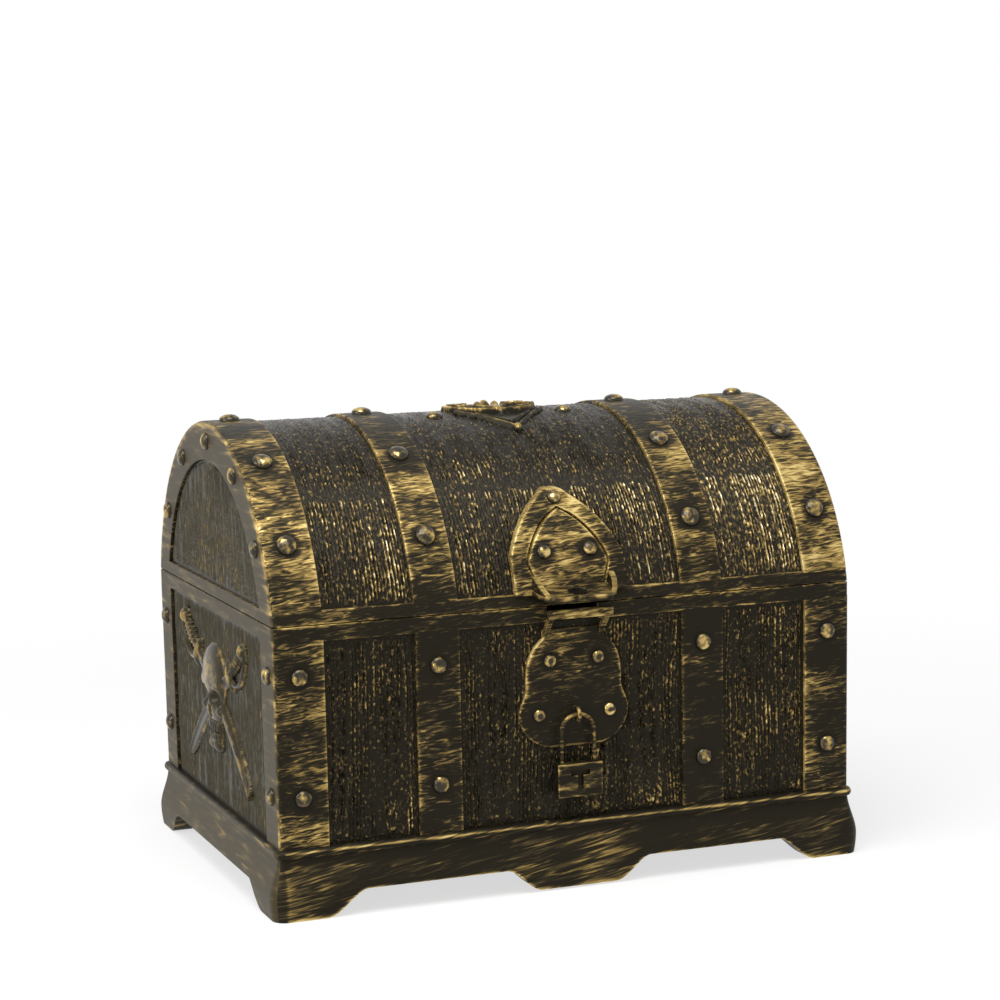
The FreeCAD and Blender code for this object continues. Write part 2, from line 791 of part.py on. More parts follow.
def skull(height, relief):
    """A domed cranium on a narrower jaw, with two eye sockets and a nose."""
    middle = height * skull_middle_share
    dome = faceted_dome(height * skull_radius_share, skull_facets, [
        (0, 1), (relief, 1), (relief + skull_rise * skull_shoulder_share, skull_shoulder_radius_share),
        (relief + skull_rise, skull_top_radius_share)]).translated(V(0, middle, 0))
    jaw_half = height * jaw_half_share
    jaw_top = relief + skull_rise * jaw_rise_share
    jaw = slab((-jaw_half, middle - height * jaw_drop_share, 0), (jaw_half, middle, jaw_top))
    chin = [edge for edge in jaw.Edges if edge.BoundBox.YMax < middle]
    jaw = jaw.makeChamfer(skull_rise * jaw_bevel_share, chin)
    head = fused([dome, jaw])
    for hand in (1, -1):
        socket = V(hand * height * socket_offset_share, middle - height * socket_drop_share, relief)
        hollow = flat_face(corners(height * socket_radius_share, stud_facets, 0)).extrude(V(0, 0, far))
        head = head.cut(hollow.translated(socket))
    nose_top = middle - height * (nose_drop_share - nose_half_share)
    nose_bottom = middle - height * (nose_drop_share + nose_half_share)
    nose_half = height * nose_half_share
    nose = closed_face(top_plane, [(0, nose_top), (nose_half, nose_bottom), (-nose_half, nose_bottom)])
    return head.cut(nose.extrude(V(0, 0, far)).translated(V(0, 0, relief)))


def side_emblem(side):
    sabres = crossed_sabres(emblem_width, emblem_height, emblem_relief)
    relief = fused([sabres, skull(emblem_height, emblem_relief)])
    upright = FreeCAD.Rotation(V(0, side, 0), V(0, 0, 1), V(side, 0, 0), "ZXY")
    place = V(side * core_half_width, 0, (plinth_height + rim_band_bottom) / 2 + emblem_lift)
    return relief.transformed(FreeCAD.Placement(place, upright).toMatrix())


def on_crown(outline, rise):
    """A plate of a stated rise that follows the crown of the lid inside an outline seen from above."""
    follow = lid_cylinder(core_radius + rise, far).cut(lid_cylinder(core_radius, far))
    return outline.extrude(V(0, 0, far)).common(follow).common(above(rim_height))


def crest_outline():
    """A shield with two lobes at the back and a point at the front."""
    lobe_across, lobe_back = crest_lobe_shares
    flank_across, flank_front = crest_flank_shares
    return mirrored_face(top_plane, [
        (0, crest_back * crest_dip_share),
        ((crest_half_width * lobe_across, crest_back * lobe_back),
         (crest_half_width, crest_back * crest_end_share)),
        ((crest_half_width * flank_across, -crest_front * flank_front), (0, -crest_front))])


def leaf_outline():
    """A lens-shaped leaf from near the point of the shield to its right lobe."""
    front = V(crest_half_width * leaf_front_shares[0], -crest_front * leaf_front_shares[1], 0)
    back = V(crest_half_width * leaf_back_shares[0], crest_back * leaf_back_shares[1], 0)
    middle = (front + back) / 2
    across = V(front.y - back.y, back.x - front.x, 0) * leaf_swell_share
    inner, outer = middle + across, middle - across
    start, end = (front.x, front.y), (back.x, back.y)
    edges = edges_along(top_plane, [start, ((inner.x, inner.y), end), ((outer.x, outer.y), start)])
    return Part.Face(Part.Wire(edges))


def lid_crest():
    leaf = on_crown(leaf_outline(), leaf_relief)
    boss = stud(boss_radius, boss_rise).translated(V(0, 0, lid_axis_height + core_radius))
    return fused([on_crown(crest_outline(), crest_relief), leaf, leaf.mirror(V(0, 0, 0), V(1, 0, 0)), boss])


def crest_studs():
    return Part.makeCompound([
        lid_stud(side * crest_stud_offset, crest_stud_angle, stud_radius, stud_rise, core_radius)
        for side in sides.values()])


# Every node, in the order the chest is put together
nodes = {
    "plinth": plinth(),
    "tub": tub(),
    "rim_band": rim_band(),
    "front_studs": wall_studs(-1),
    "back_studs": wall_studs(1),
    "lock_plate": lock_plate(),
    "lock_plate_studs": lock_plate_studs(),
    "catch_loop": catch_loop(),
    "staple": staple(),
    "padlock_shackle": padlock_shackle(),
    "padlock_case": padlock_case(),
    "lid_shell": lid_shell(),
    "lid_rim_band": lid_rim_band(),
    "lid_band_studs": lid_band_studs(),
    "hasp_frame": hasp_frame(),
    "hasp_leaf": hasp_leaf(),
    "hasp_studs": hasp_studs(),
    "lid_crest": lid_crest(),
    "crest_studs": crest_studs(),
}
for word, side in sides.items():
    nodes["front_strap_" + word] = strap(side, -1)
    nodes["back_strap_" + word] = strap(side, 1)
    nodes["corner_strap_front_" + word] = corner_strap(side, -1)
    nodes["corner_strap_back_" + word] = corner_strap(side, 1)
    nodes["end_studs_" + word] = end_studs(side)
    nodes["side_emblem_" + word] = side_emblem(side)
    nodes["lid_band_" + word] = lid_band(side)
    nodes["lid_corner_band_" + word] = lid_corner_band(side)
    nodes["lid_end_studs_" + word] = lid_end_studs(side)
    nodes["hinge_leaf_body_" + word] = hinge_leaf_body(side)
    nodes["hinge_leaf_lid_" + word] = hinge_leaf_lid(side)
    nodes["hinge_pin_" + word] = hinge_pin(side)

for name, shape in nodes.items():
    shape.translated(V(0, centre_shift, 0)).exportStep("parts/" + name + ".step")
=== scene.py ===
import math

import bmesh
import bpy
from mathutils import Matrix, Vector, noise


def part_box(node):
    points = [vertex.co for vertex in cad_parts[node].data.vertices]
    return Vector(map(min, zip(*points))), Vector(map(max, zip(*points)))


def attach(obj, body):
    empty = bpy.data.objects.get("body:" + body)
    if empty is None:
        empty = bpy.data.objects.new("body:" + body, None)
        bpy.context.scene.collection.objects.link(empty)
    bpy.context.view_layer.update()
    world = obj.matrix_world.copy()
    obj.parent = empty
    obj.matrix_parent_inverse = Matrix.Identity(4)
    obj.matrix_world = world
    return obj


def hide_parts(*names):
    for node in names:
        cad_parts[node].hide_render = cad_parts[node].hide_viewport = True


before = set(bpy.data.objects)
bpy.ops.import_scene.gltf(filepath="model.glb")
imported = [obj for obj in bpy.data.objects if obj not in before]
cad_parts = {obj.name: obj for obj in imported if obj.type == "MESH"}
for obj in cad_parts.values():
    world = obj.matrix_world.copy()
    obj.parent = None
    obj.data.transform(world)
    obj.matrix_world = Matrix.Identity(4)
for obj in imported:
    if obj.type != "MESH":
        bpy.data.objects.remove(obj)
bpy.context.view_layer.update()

# Tub
# The box below the lid is one hollow moulding of brown-black plastic, glossy inside and open at the top.
# The strapped and boarded look of its outside is added to these plain walls piece by piece below.
MM = 0.001
tub_low, tub_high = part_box("tub")
middle_y = (tub_low.y + tub_high.y) / 2
half_length = tub_high.x
half_depth = tub_high.y - middle_y
DARK_PLASTIC = (0.0095, 0.0078, 0.0048)
WARM_GLOSS = (1.0, 0.9, 0.68, 1)
FLOW_MARKS = (60, 60, 60)
RIPPLES = (220, 220, 220)
BLACK_SHADES = ((0.0035, 0.0035, 0.0038), (0.009, 0.0085, 0.008))
BLACK_ROUGHNESS = (0.18, 0.3)
BLACK_GLOSS = 0.35


def new_finish(name):
    finish = bpy.data.materials.new(name)
    finish.use_nodes = True
    return finish, finish.node_tree.nodes, finish.node_tree.links


def noise_on_piece(nodes, links, per_metre, detail=3.0, distortion=0.0, lean=0.0):
    """Noise on the piece's own coordinates, with so many features in a metre and a lean from x towards z."""
    place = nodes.new("ShaderNodeTexCoord")
    scale = nodes.new("ShaderNodeMapping")
    scale.vector_type = "TEXTURE"
    scale.inputs["Rotation"].default_value = (0, -lean, 0)
    scale.inputs["Scale"].default_value = [1 / number for number in per_metre]
    links.new(place.outputs["Object"], scale.inputs["Vector"])
    texture = nodes.new("ShaderNodeTexNoise")
    texture.inputs["Scale"].default_value = 1.0
    texture.inputs["Detail"].default_value = detail
    texture.inputs["Distortion"].default_value = distortion
    links.new(scale.outputs["Vector"], texture.inputs["Vector"])
    return texture.outputs["Fac"]


def spread_of(nodes, links, value, low, high, out_low, out_high):
    """The value from low to high, laid smoothly over out_low to out_high."""
    spread = nodes.new("ShaderNodeMapRange")
    spread.interpolation_type = "SMOOTHSTEP"
    for socket, number in zip(spread.inputs[1:5], (low, high, out_low, out_high)):
        socket.default_value = number
    links.new(value, spread.inputs["Value"])
    return spread.outputs["Result"]


def dent(nodes, links, height, strength, depth, shader):
    bump = nodes.new("ShaderNodeBump")
    bump.inputs["Strength"].default_value = strength
    bump.inputs["Distance"].default_value = depth
    links.new(height, bump.inputs["Height"])
    links.new(bump.outputs["Normal"], shader.inputs["Normal"])


def clouded(name, per_metre, detail, shades, rough):
    """A finish whose colour and roughness drift between two values, by noise on the piece."""
    finish, nodes, links = new_finish(name)
    shader = nodes["Principled BSDF"]
    cloud = noise_on_piece(nodes, links, per_metre, detail)
    tint = nodes.new("ShaderNodeValToRGB")
    for step, shade in zip(tint.color_ramp.elements, shades):
        step.color = (*shade, 1)
    links.new(cloud, tint.inputs["Fac"])
    links.new(tint.outputs["Color"], shader.inputs["Base Color"])
    links.new(spread_of(nodes, links, cloud, 0.3, 0.7, *rough), shader.inputs["Roughness"])
    return finish, nodes, links


def coated(node, finish):
    """Gives a plain node its finish."""
    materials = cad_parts[node].data.materials
    materials.clear()
    materials.append(finish)


bare_plastic, nodes, links = clouded("bare_plastic", FLOW_MARKS, 5, BLACK_SHADES, BLACK_ROUGHNESS)
shader = nodes["Principled BSDF"]
shader.inputs["Specular IOR Level"].default_value = BLACK_GLOSS
dent(nodes, links, noise_on_piece(nodes, links, RIPPLES, 2), 0.12, 0.2 * MM, shader)
for node in ("tub", "lid_shell"):
    coated(node, bare_plastic)

# Boards of the tub
# Between the straps the walls show upright boards: raised grain moulded in the same plastic as the tub.
# Each panel is a thin slab set in the wall, with its ridges dry-brushed with a little gold paint; the palest
# specks on them are painted glints.
plinth_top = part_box("plinth")[1].z
rim_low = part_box("rim_band")[0].z
BOARD_SKIN = 0.06 * MM
BOARD_RISE = 0.5 * MM
BOARD_SINK = 0.15 * MM
BOARD_CELLS = {"front": 0.19 * MM, "back": 0.22 * MM, "end": 0.2 * MM}
GRAIN_PITCH = 0.86
SHEAF = 13.0
ARCH_SLOPE = 0.2
ARCH_HALF = 1.7
MARGIN = 1.5
CATCH_FLAT_SHADE_HALF = (7, 9)
CATCH_FLAT_SHADE_FOOT = (56, 59)
STAIN = (0.035, 0.025, 0.01)
THIN_GOLD = (0.24, 0.16, 0.05)
RUBBED_GOLD = (0.40, 0.28, 0.09)
GOLD = (0.62, 0.47, 0.19)
# The palest gold on the grain is partly gold paint and partly painted glints.
PALE_GOLD_GLINT = (0.7, 0.58, 0.32)
GREY_GOLD_GLINT = (0.36, 0.31, 0.2)
BOARD_DARK = (0.0085, 0.007, 0.0045)
END_BOARD_SHEEN_BASE = (0.022, 0.0195, 0.0115)


def eased(value, low, high):
    share = min(max((value - low) / (high - low), 0.0), 1.0)
    return share * share * (3 - 2 * share)


def raised_grain(across, along, seed, arch_slope=0.0):
    """Height from 0 to 1 of broken ridges that run along a board; both places are in millimetres."""
    sway = 1.8 * noise.noise((across * 0.05, along * 0.022, seed))
    sway += 0.25 * noise.noise((across * 0.3, along * 0.1, seed + 3))
    sheaf = math.floor((across + sway) / SHEAF)
    aside = abs(across + sway - (sheaf + 0.5) * SHEAF)
    line = (aside + arch_slope * along * math.exp(-(aside / ARCH_HALF) ** 2)) / GRAIN_PITCH + 40 * sheaf
    column = math.floor(line)
    ridge = (1 - abs(2 * (line - column) - 1)) ** 1.4
    dash = noise.noise((column * 7.31, along * 0.09, seed + column * 1.7))
    bead = noise.noise((column * 5.17, along * 0.8, seed + column * 2.9))
    return ridge * (0.25 + 0.75 * eased(dash, -0.4, 0.1)) * (0.6 + 0.4 * eased(bead, -0.2, 0.3))


def dry_brushed(name, per_metre, spread, metal=0.5, rough=0.42, distortion=0.4, relief=0.2, dark=DARK_PLASTIC,
                gloss=0.14, bright=GOLD, lean=0.0):
    """Brown-black plastic under dry-brushed gold, laid by the wear attribute and broken up by noise."""
    finish, nodes, links = new_finish(name)
    shader = nodes["Principled BSDF"]
    streak = noise_on_piece(nodes, links, per_metre, 4, distortion, lean)
    wear = nodes.new("ShaderNodeAttribute")
    wear.attribute_name = "wear"
    brush = nodes.new("ShaderNodeMath")
    brush.operation = "MULTIPLY_ADD"
    brush.inputs[1].default_value = spread
    links.new(streak, brush.inputs[0])
    links.new(wear.outputs["Fac"], brush.inputs[2])
    amount = nodes.new("ShaderNodeMath")
    amount.operation = "SUBTRACT"
    amount.inputs[1].default_value = spread / 2
    links.new(brush.outputs[0], amount.inputs[0])
    tint = nodes.new("ShaderNodeValToRGB")
    steps = tint.color_ramp.elements
    steps[0].position, steps[0].color = 0.22, (*dark, 1)
    steps[1].position, steps[1].color = 0.95, (*bright, 1)
    stained = [part + more for part, more in zip(dark, STAIN)]
    for position, colour in ((0.42, stained), (0.62, THIN_GOLD), (0.76, RUBBED_GOLD)):
        steps.new(position).color = (*colour, 1)
    links.new(amount.outputs[0], tint.inputs["Fac"])
    links.new(tint.outputs["Color"], shader.inputs["Base Color"])
    links.new(spread_of(nodes, links, amount.outputs[0], 0.4, 0.8, 0, metal), shader.inputs["Metallic"])
    roughness = spread_of(nodes, links, amount.outputs[0], 0.3, 0.8, rough, rough - 0.08)
    links.new(roughness, shader.inputs["Roughness"])
    shader.inputs["Specular IOR Level"].default_value = gloss
    shader.inputs["Specular Tint"].default_value = WARM_GLOSS
    dent(nodes, links, amount.outputs[0], relief, 0.25 * MM, shader)
    return finish


def finished(name, mesh, *finishes):
    """The mesh as an object of that name, shaded smooth up to its sharp edges."""
    data = bpy.data.meshes.new(name)
    for face in mesh.faces:
        face.smooth = True
    mesh.to_mesh(data)
    mesh.free()
    data.set_sharp_from_angle(angle=math.radians(38))
    for finish in finishes:
        data.materials.append(finish)
    piece = bpy.data.objects.new(name, data)
    bpy.context.scene.collection.objects.link(piece)
    return piece


def grained_board(across, along, place, figure, cell):
    """A thin closed slab: place(u, v, rise) sets a point, and figure(u, v) gives its height and wear."""
    columns = round((across[1] - across[0]) / cell)
    rows = round((along[1] - along[0]) / (2 * cell))
    slab = bmesh.new()
    bmesh.ops.create_grid(slab, x_segments=columns, y_segments=rows, size=0.5)
    wear = slab.verts.layers.float.new("wear")
    u_mark = slab.verts.layers.float.new("u")
    v_mark = slab.verts.layers.float.new("v")
    for vert in slab.verts:
        u = across[0] + (vert.co.x + 0.5) * (across[1] - across[0])
        v = along[0] + (vert.co.y + 0.5) * (along[1] - along[0])
        height, gilt = figure(u / MM, v / MM)
        vert.co = place(u, v, BOARD_SKIN + BOARD_RISE * height)
        vert[u_mark] = u
        vert[v_mark] = v
        vert[wear] = gilt
    rim = [edge for edge in slab.edges if edge.is_boundary]
    bmesh.ops.extrude_edge_only(slab, edges=rim)
    rim = [edge for edge in slab.edges if edge.is_boundary]
    for vert in {vert for edge in rim for vert in edge.verts}:
        vert.co = place(vert[u_mark], vert[v_mark], -BOARD_SINK)
    sides = [edge for edge in rim if abs(edge.verts[0][u_mark] - edge.verts[1][u_mark]) < cell / 4]
    bmesh.ops.bridge_loops(slab, edges=sides)
    rim = [edge for edge in slab.edges if edge.is_boundary]
    bmesh.ops.holes_fill(slab, edges=rim, sides=0)
    slab.verts.layers.float.remove(slab.verts.layers.float["u"])
    slab.verts.layers.float.remove(slab.verts.layers.float["v"])
    bmesh.ops.recalc_face_normals(slab, faces=slab.faces)
    return slab


def wall_figure(across, along, seed, gilding, brushing, arch_slope=0.0, flat_shade_behind_catch=False):
    """Grain of one wall panel, smooth for a little way inside its edges; behind the catch it is smoothed and
    left without gold, as painted shade under the tab and bar.
    """
    def figure(u, v):
        inside = min(u - across[0] / MM, across[1] / MM - u, v - along[0] / MM, along[1] / MM - v)
        height = raised_grain(u, v, seed, arch_slope) * eased(inside, 0.2, MARGIN)
        patch = noise.noise((u * 0.09, v * 0.06, seed + 20))
        # Behind the catch the board is flattened and its gold taken away: painted shade under the hasp's tab
        # and the catch bar.
        if flat_shade_behind_catch:
            flat_and_shaded = (1 - eased(abs(u), *CATCH_FLAT_SHADE_HALF)) * eased(v, *CATCH_FLAT_SHADE_FOOT)
        else:
            flat_and_shaded = 0.0
        return height * (1 - flat_and_shaded), gilding + brushing * height * max(0.62 + 1.2 * patch, 0.25) * (1 - flat_and_shaded)
    return figure


def boarding(name, body, mesh, finish):
    """A panel that is added to the plain wall behind it."""
    board = finished(name, mesh, finish)
    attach(board, body)


board_finish = dry_brushed("brushed_glinting_boards", (1700, 1700, 1250), 2.0, metal=0.4, rough=0.25, relief=0.7,
                           dark=BOARD_DARK, bright=PALE_GOLD_GLINT)
# The end boards have a lighter grey base, which is painted sheen, and a grey gold on their ridges that is
# partly paint and partly painted glints.
end_board_sheen_finish = dry_brushed("sheen_lit_end_boards", (900, 1500, 300), 1.2, metal=0.2, rough=0.4, relief=0.5,
                               dark=END_BOARD_SHEEN_BASE, gloss=0.45, bright=GREY_GOLD_GLINT)
strap_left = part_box("front_strap_left")
strap_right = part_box("front_strap_right")
corner_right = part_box("corner_strap_front_right")
wall_span = (plinth_top, rim_low)
panel_spans = {
    "left": (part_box("corner_strap_front_left")[1].x, strap_left[0].x),
    "middle": (strap_left[1].x, strap_right[0].x),
    "right": (strap_right[1].x, corner_right[0].x),
}
for number, (side, span) in enumerate(panel_spans.items()):
    for wall, face_y, out in (("front", tub_low.y, -1), ("back", tub_high.y, 1)):
        mesh = grained_board(
            span, wall_span,
            lambda u, v, rise: Vector((u, face_y + out * rise, v)),
            wall_figure(span, wall_span, 4.3 * number + out, 0.07, 0.62, ARCH_SLOPE, wall == "front"),
            BOARD_CELLS[wall])
        boarding(f"{wall}_board_{side}", "chest", mesh, board_finish)
end_span = (corner_right[1].y, 2 * middle_y - corner_right[1].y)
for side, face_x, out in (("left", -half_length, -1), ("right", half_length, 1)):
    mesh = grained_board(
        end_span, wall_span,
        lambda u, v, rise: Vector((face_x + out * rise, u, v)),
        wall_figure(end_span, wall_span, 30 + out, 0.1, 0.28), BOARD_CELLS["end"])
    boarding(f"end_board_{side}", "chest", mesh, end_board_sheen_finish)

# Plinth
# A mitred moulding carries the tub: a bead, a groove and a swelling face with bracket feet and arches.
# It is moulded in the same plastic, and gold paint has caught its bead, its edges and the scratches along it.
CORNER_ROUND = 0.3 * MM
STRAP_RISE = 0.9 * MM
LEDGE_DEPTH = 2.2 * MM
LEDGE_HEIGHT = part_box("tub")[0].z
BEAD_HEIGHT = 2.2
BEAD_PROUD = 1.2
NECK_PROUD = 0.25
SWELL_TOP = 13.3
SWELL_LOW = 5.0
SWELL_PROUD = 2.5
FOOT_PROUD = 2.0
ARCH_HEIGHT = 6.1
DROP_HEIGHT = 0.5
FRONT_FOOT = (52.6, 62.8)
FRONT_DROP = (9.5, 18.5)
END_FOOT = (32.8, 41.8)
RING_STEP = 0.6 * MM
CORNER_TURNS = (15, 30, 45, 60, 75)
END_SHEEN_BASE = (0.033, 0.0238, 0.0075)


def ring_stations(length, depth, start=-1.0, stop=1.0):
    """Stations round a rounded rectangle: where the corner circle's middle lies, and which way is out."""
    long_steps = round(2 * length / RING_STEP)
    deep_steps = round(2 * depth / RING_STEP)
    stations = [(start + (1 - start) * i / long_steps, -1, -90) for i in range(long_steps + 1)]
    stations += [(1, -1, turn - 90) for turn in CORNER_TURNS]
    stations += [(1, -1 + 2 * i / deep_steps, 0) for i in range(deep_steps + 1)]
    stations += [(1, 1, turn) for turn in CORNER_TURNS]
    stations += [(1 - 2 * i / long_steps, 1, 90) for i in range(long_steps + 1)]
    stations += [(-1, 1, turn + 90) for turn in CORNER_TURNS]
    stations += [(-1, 1 - 2 * i / deep_steps, 180) for i in range(deep_steps + 1)]
    stations += [(-1, -1, turn + 180) for turn in CORNER_TURNS]
    if stop < 1:
        stations += [(-1 + (stop + 1) * i / long_steps, -1, -90) for i in range(long_steps + 1)]
    return stations


def along_side(station):
    """How far along its side a station lies from the middle, in millimetres."""
    share_x, share_y, degrees = station
    return share_x * half_length / MM if abs(share_y) == 1 else share_y * half_depth / MM


def ring_point(station, length, depth, out, z):
    """The point so far out from a rounded rectangle of those half sizes, at a station round it."""
    share_x, share_y, degrees = station
    turn = math.radians(degrees)
    reach = CORNER_ROUND + out
    x = share_x * (length - CORNER_ROUND) + reach * math.cos(turn)
    y = middle_y + share_y * (depth - CORNER_ROUND) + reach * math.sin(turn)
    return Vector((x, y, z))


def swept(stations, section, place, gilt, ring=False):
    """A bar with a closed section carried along stations; place and gilt take station, across and out."""
    columns = len(section)
    rows = len(stations) if ring else len(stations) - 1
    bar = bmesh.new()
    bmesh.ops.create_grid(bar, x_segments=columns, y_segments=rows, size=0.5)
    wear = bar.verts.layers.float.new("wear")
    for vert in bar.verts:
        across, out = section[round((vert.co.x + 0.5) * columns) % columns]
        station = stations[round((vert.co.y + 0.5) * rows) % len(stations)]
        vert.co = place(station, across, out)
        vert[wear] = gilt(station, across, out)
    bmesh.ops.remove_doubles(bar, verts=bar.verts, dist=0.0005 * MM)
    rim = [edge for edge in bar.edges if edge.is_boundary]
    bmesh.ops.holes_fill(bar, edges=rim, sides=0)
    bmesh.ops.recalc_face_normals(bar, faces=bar.faces)
    return bar


def plinth_proud(z):
    """How far the moulding stands out from the straps at a height, in millimetres."""
    top = plinth_top / MM
    if z > top - BEAD_HEIGHT:
        lift = (z - (top - BEAD_HEIGHT / 2)) / (BEAD_HEIGHT / 2)
        return NECK_PROUD + (BEAD_PROUD - NECK_PROUD) * math.sqrt(max(1 - lift * lift, 0))
    if z > SWELL_TOP:
        return NECK_PROUD
    if z > SWELL_LOW:
        return NECK_PROUD + (SWELL_PROUD - NECK_PROUD) * eased(SWELL_TOP - z, -1.6, SWELL_TOP - SWELL_LOW)
    return SWELL_PROUD - (SWELL_PROUD - FOOT_PROUD) * (1 - z / SWELL_LOW) ** 2


def arch_height(x, y):
    """Height of the plinth's lower edge over the floor, in millimetres."""
    if abs(abs(y) - half_depth / MM) < 8:
        foot = ARCH_HEIGHT * eased(FRONT_FOOT[1] - abs(x), 0, FRONT_FOOT[1] - FRONT_FOOT[0])
        drop = DROP_HEIGHT + (ARCH_HEIGHT - DROP_HEIGHT) * eased(abs(x), *FRONT_DROP)
        return min(foot, drop)
    return ARCH_HEIGHT * eased(END_FOOT[1] - abs(y), 0, END_FOOT[1] - END_FOOT[0])


def plinth_point(station, z, out):
    spot = ring_point(station, half_length, half_depth, 0, 0)
    low = arch_height(spot.x / MM, (spot.y - middle_y) / MM)
    if z <= SWELL_TOP:
        z = SWELL_TOP - (SWELL_TOP - z) * (SWELL_TOP - low) / SWELL_TOP
    if out is None:
        out = plinth_proud(z) * MM + STRAP_RISE
    return ring_point(station, half_length, half_depth, out, z * MM)


def plinth_wear(station, z, out):
    if out is not None:
        return 0.05
    share_x, share_y, degrees = station
    top = plinth_top / MM
    bead = math.exp(-((z - top + 0.7) / 0.3) ** 2) + 0.5 * math.exp(-((z - top + 1.9) / 0.2) ** 2)
    toe = math.exp(-(z / 0.6) ** 2)
    along = along_side(station)
    patch = noise.noise((along * 0.07, z * 0.12, degrees * 0.1))
    facing = {-90: 1.0, 90: 0.7}.get(degrees, 0.3)
    rubbed = 0.32 * eased(-along, 48, 66) + 0.1 * eased(along, 50, 70)
    rubbed += 0.16 * (1 - eased(abs(along), 10, 22))
    rubbed *= eased(SWELL_TOP - z, 0, 1.5)
    gold = 0.62 * bead + 0.55 * toe + 0.26 * patch + rubbed
    return 0.1 + facing * gold + 0.12 * (1 - abs(share_y) ** 9)


bead_steps = [plinth_top / MM - BEAD_HEIGHT * i / 12 for i in range(13)]
swell_steps = [SWELL_TOP * (1 - i / 30) for i in range(31)]
plinth_section = [(plinth_top / MM, 0.0)] + [(z, None) for z in bead_steps + swell_steps]
plinth_section += [(0.0, -LEDGE_DEPTH), (LEDGE_HEIGHT / MM, -LEDGE_DEPTH), (LEDGE_HEIGHT / MM, 0.0)]
plinth_stations = ring_stations(half_length, half_depth)


def end_faces(mesh):
    """Gives the faces that look along x the second finish of their piece, whose lighter base is painted sheen
    on the ends.
    """
    mesh.normal_update()
    for face in mesh.faces:
        face.material_index = 1 if abs(face.normal.x) > 0.75 else 0
    return mesh


plinth_finish = dry_brushed("brushed_plinth", (100, 100, 1400), 1.8, distortion=1.0, lean=0.17)
# The faces on the ends get a lighter, greyer base than the rest of the moulding: painted sheen from the light
# at the side.
end_sheen_finish = dry_brushed("sheen_lit_ends", (120, 90, 700), 1.5, metal=0.35, rough=0.48, relief=0.2,
                         dark=END_SHEEN_BASE, gloss=0.3)
mesh = swept(plinth_stations, plinth_section, plinth_point, plinth_wear, ring=True)
plinth = finished("plinth_moulding", end_faces(mesh), plinth_finish, end_sheen_finish)
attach(plinth, "chest")
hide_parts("plinth")

# Rim band and straps of the tub
# A flat band runs round the rim and straps run down from it, all in one moulding on the original.
# Gold paint was dragged across the straps with a dry brush, so it lies in streaks along x and on their edges.
EDGE_ROUND = 0.25 * MM
SEAM_LAP = 0.3 * MM
SEAM_RISE = 0.012 * MM
NOTCH_HALF = 6.5 * MM
STREAKS = (250, 1500, 1500)
STUD_HEIGHTS = (28.1, 56.2)
STUD_RADIUS = 2.1
STRAP_STEPS = 84
STRAP_GOLD = {"edge": 0.12, "line": 0.22, "patch": 0.32, "stud": -0.35}
STRAP_GILDING = {"left": 0.18, "right": 0.03}
strap_finish = dry_brushed("brushed_straps", STREAKS, 1.9, distortion=1.1, relief=0.4, lean=0.09)


def run(first, last, step):
    """Points from first up to, but not with, last."""
    first, last = Vector(first), Vector(last)
    count = max(1, round((last - first).length / step))
    return [tuple(first.lerp(last, i / count)) for i in range(count)]


def rounded(corner_from, corner, corner_to, radius, count=3):
    """Points of a small round at a corner between two directions."""
    corner = Vector(corner)
    start = corner + (Vector(corner_from) - corner).normalized() * radius
    stop = corner + (Vector(corner_to) - corner).normalized() * radius
    points = []
    for i in range(count + 1):
        share = i / count
        points.append(tuple((1 - share) ** 2 * start + 2 * share * (1 - share) * corner + share ** 2 * stop))
    return points


def strap_section(width, rise, sink, edge=EDGE_ROUND, step=0.55 * MM):
    """A flat bar's section, middle at zero across, with its two outer edges rounded."""
    half = width / 2
    left, right = (-half, rise), (half, rise)
    section = [(-half, -sink)]
    section += rounded((-half, -sink), left, right, edge)
    section += run((-half + edge, rise), (half - edge, rise), step)[1:]
    section += rounded(left, right, (half, -sink), edge)
    section.append((half, -sink))
    return section


def stud_shade(x, z, studs, radius):
    """How dark the paint stays round the nail heads: 1 at a head's foot, 0 a little way off."""
    shade = 0.0
    for stud_x, stud_z in studs:
        away = math.hypot(x - stud_x, z - stud_z)
        shade = max(shade, 1 - eased(away, radius, radius + 1.7))
    return shade


def brush_marks(x, along, inside, seed, studs, radius, gold):
    """What the brush left at a place in millimetres: gold on the edges, and less of it round the studs."""
    edge = math.exp(-(max(inside, 0) / 0.9) ** 2)
    edge *= 0.6 + 0.8 * noise.noise((x * 0.5, along * 0.25, seed + 7))
    line = math.exp(-(max(inside, 0) / 0.3) ** 2)
    patch = noise.noise((x * 0.06 + seed, along * 0.13, seed))
    patch += 0.5 * noise.noise((x * 0.2, along * 0.35, seed + 4))
    stud = stud_shade(x, along, studs, radius)
    return gold["edge"] * edge + gold["line"] * line + gold["patch"] * patch + gold["stud"] * stud


def rim_place(station, z, out):
    return ring_point(station, half_length, half_depth, out, z)


def rim_wear(low, high):
    def wear(station, z, out):
        degrees = station[2]
        edge = math.exp(-(min(z - low, high - z) / (0.35 * MM)) ** 2)
        patch = noise.noise((along_side(station) * 0.06, z / MM * 0.3, degrees * 0.1))
        return 0.13 + 0.42 * edge + 0.28 * patch if degrees in (-90, 90) else 0.22 + 0.12 * edge
    return wear


def rim_section(low, high):
    """A level band's section as heights and distances out, with its two outer edges rounded."""
    foot, head = (STRAP_RISE, low), (STRAP_RISE, high)
    outline = [(-BOARD_SINK, low)] + rounded((0, low), foot, head, EDGE_ROUND)
    outline += run((STRAP_RISE, low + EDGE_ROUND), (STRAP_RISE, high - EDGE_ROUND), 0.4 * MM)[1:]
    outline += rounded(foot, head, (0, high), EDGE_ROUND) + [(-BOARD_SINK, high)]
    return [(z, out) for out, z in outline]


def strapwork(node, body, mesh, *finishes):
    """A brushed strap, band or plate in place of its plain node."""
    piece = finished(node + "_brushed", mesh, *finishes)
    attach(piece, body)
    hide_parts(node)


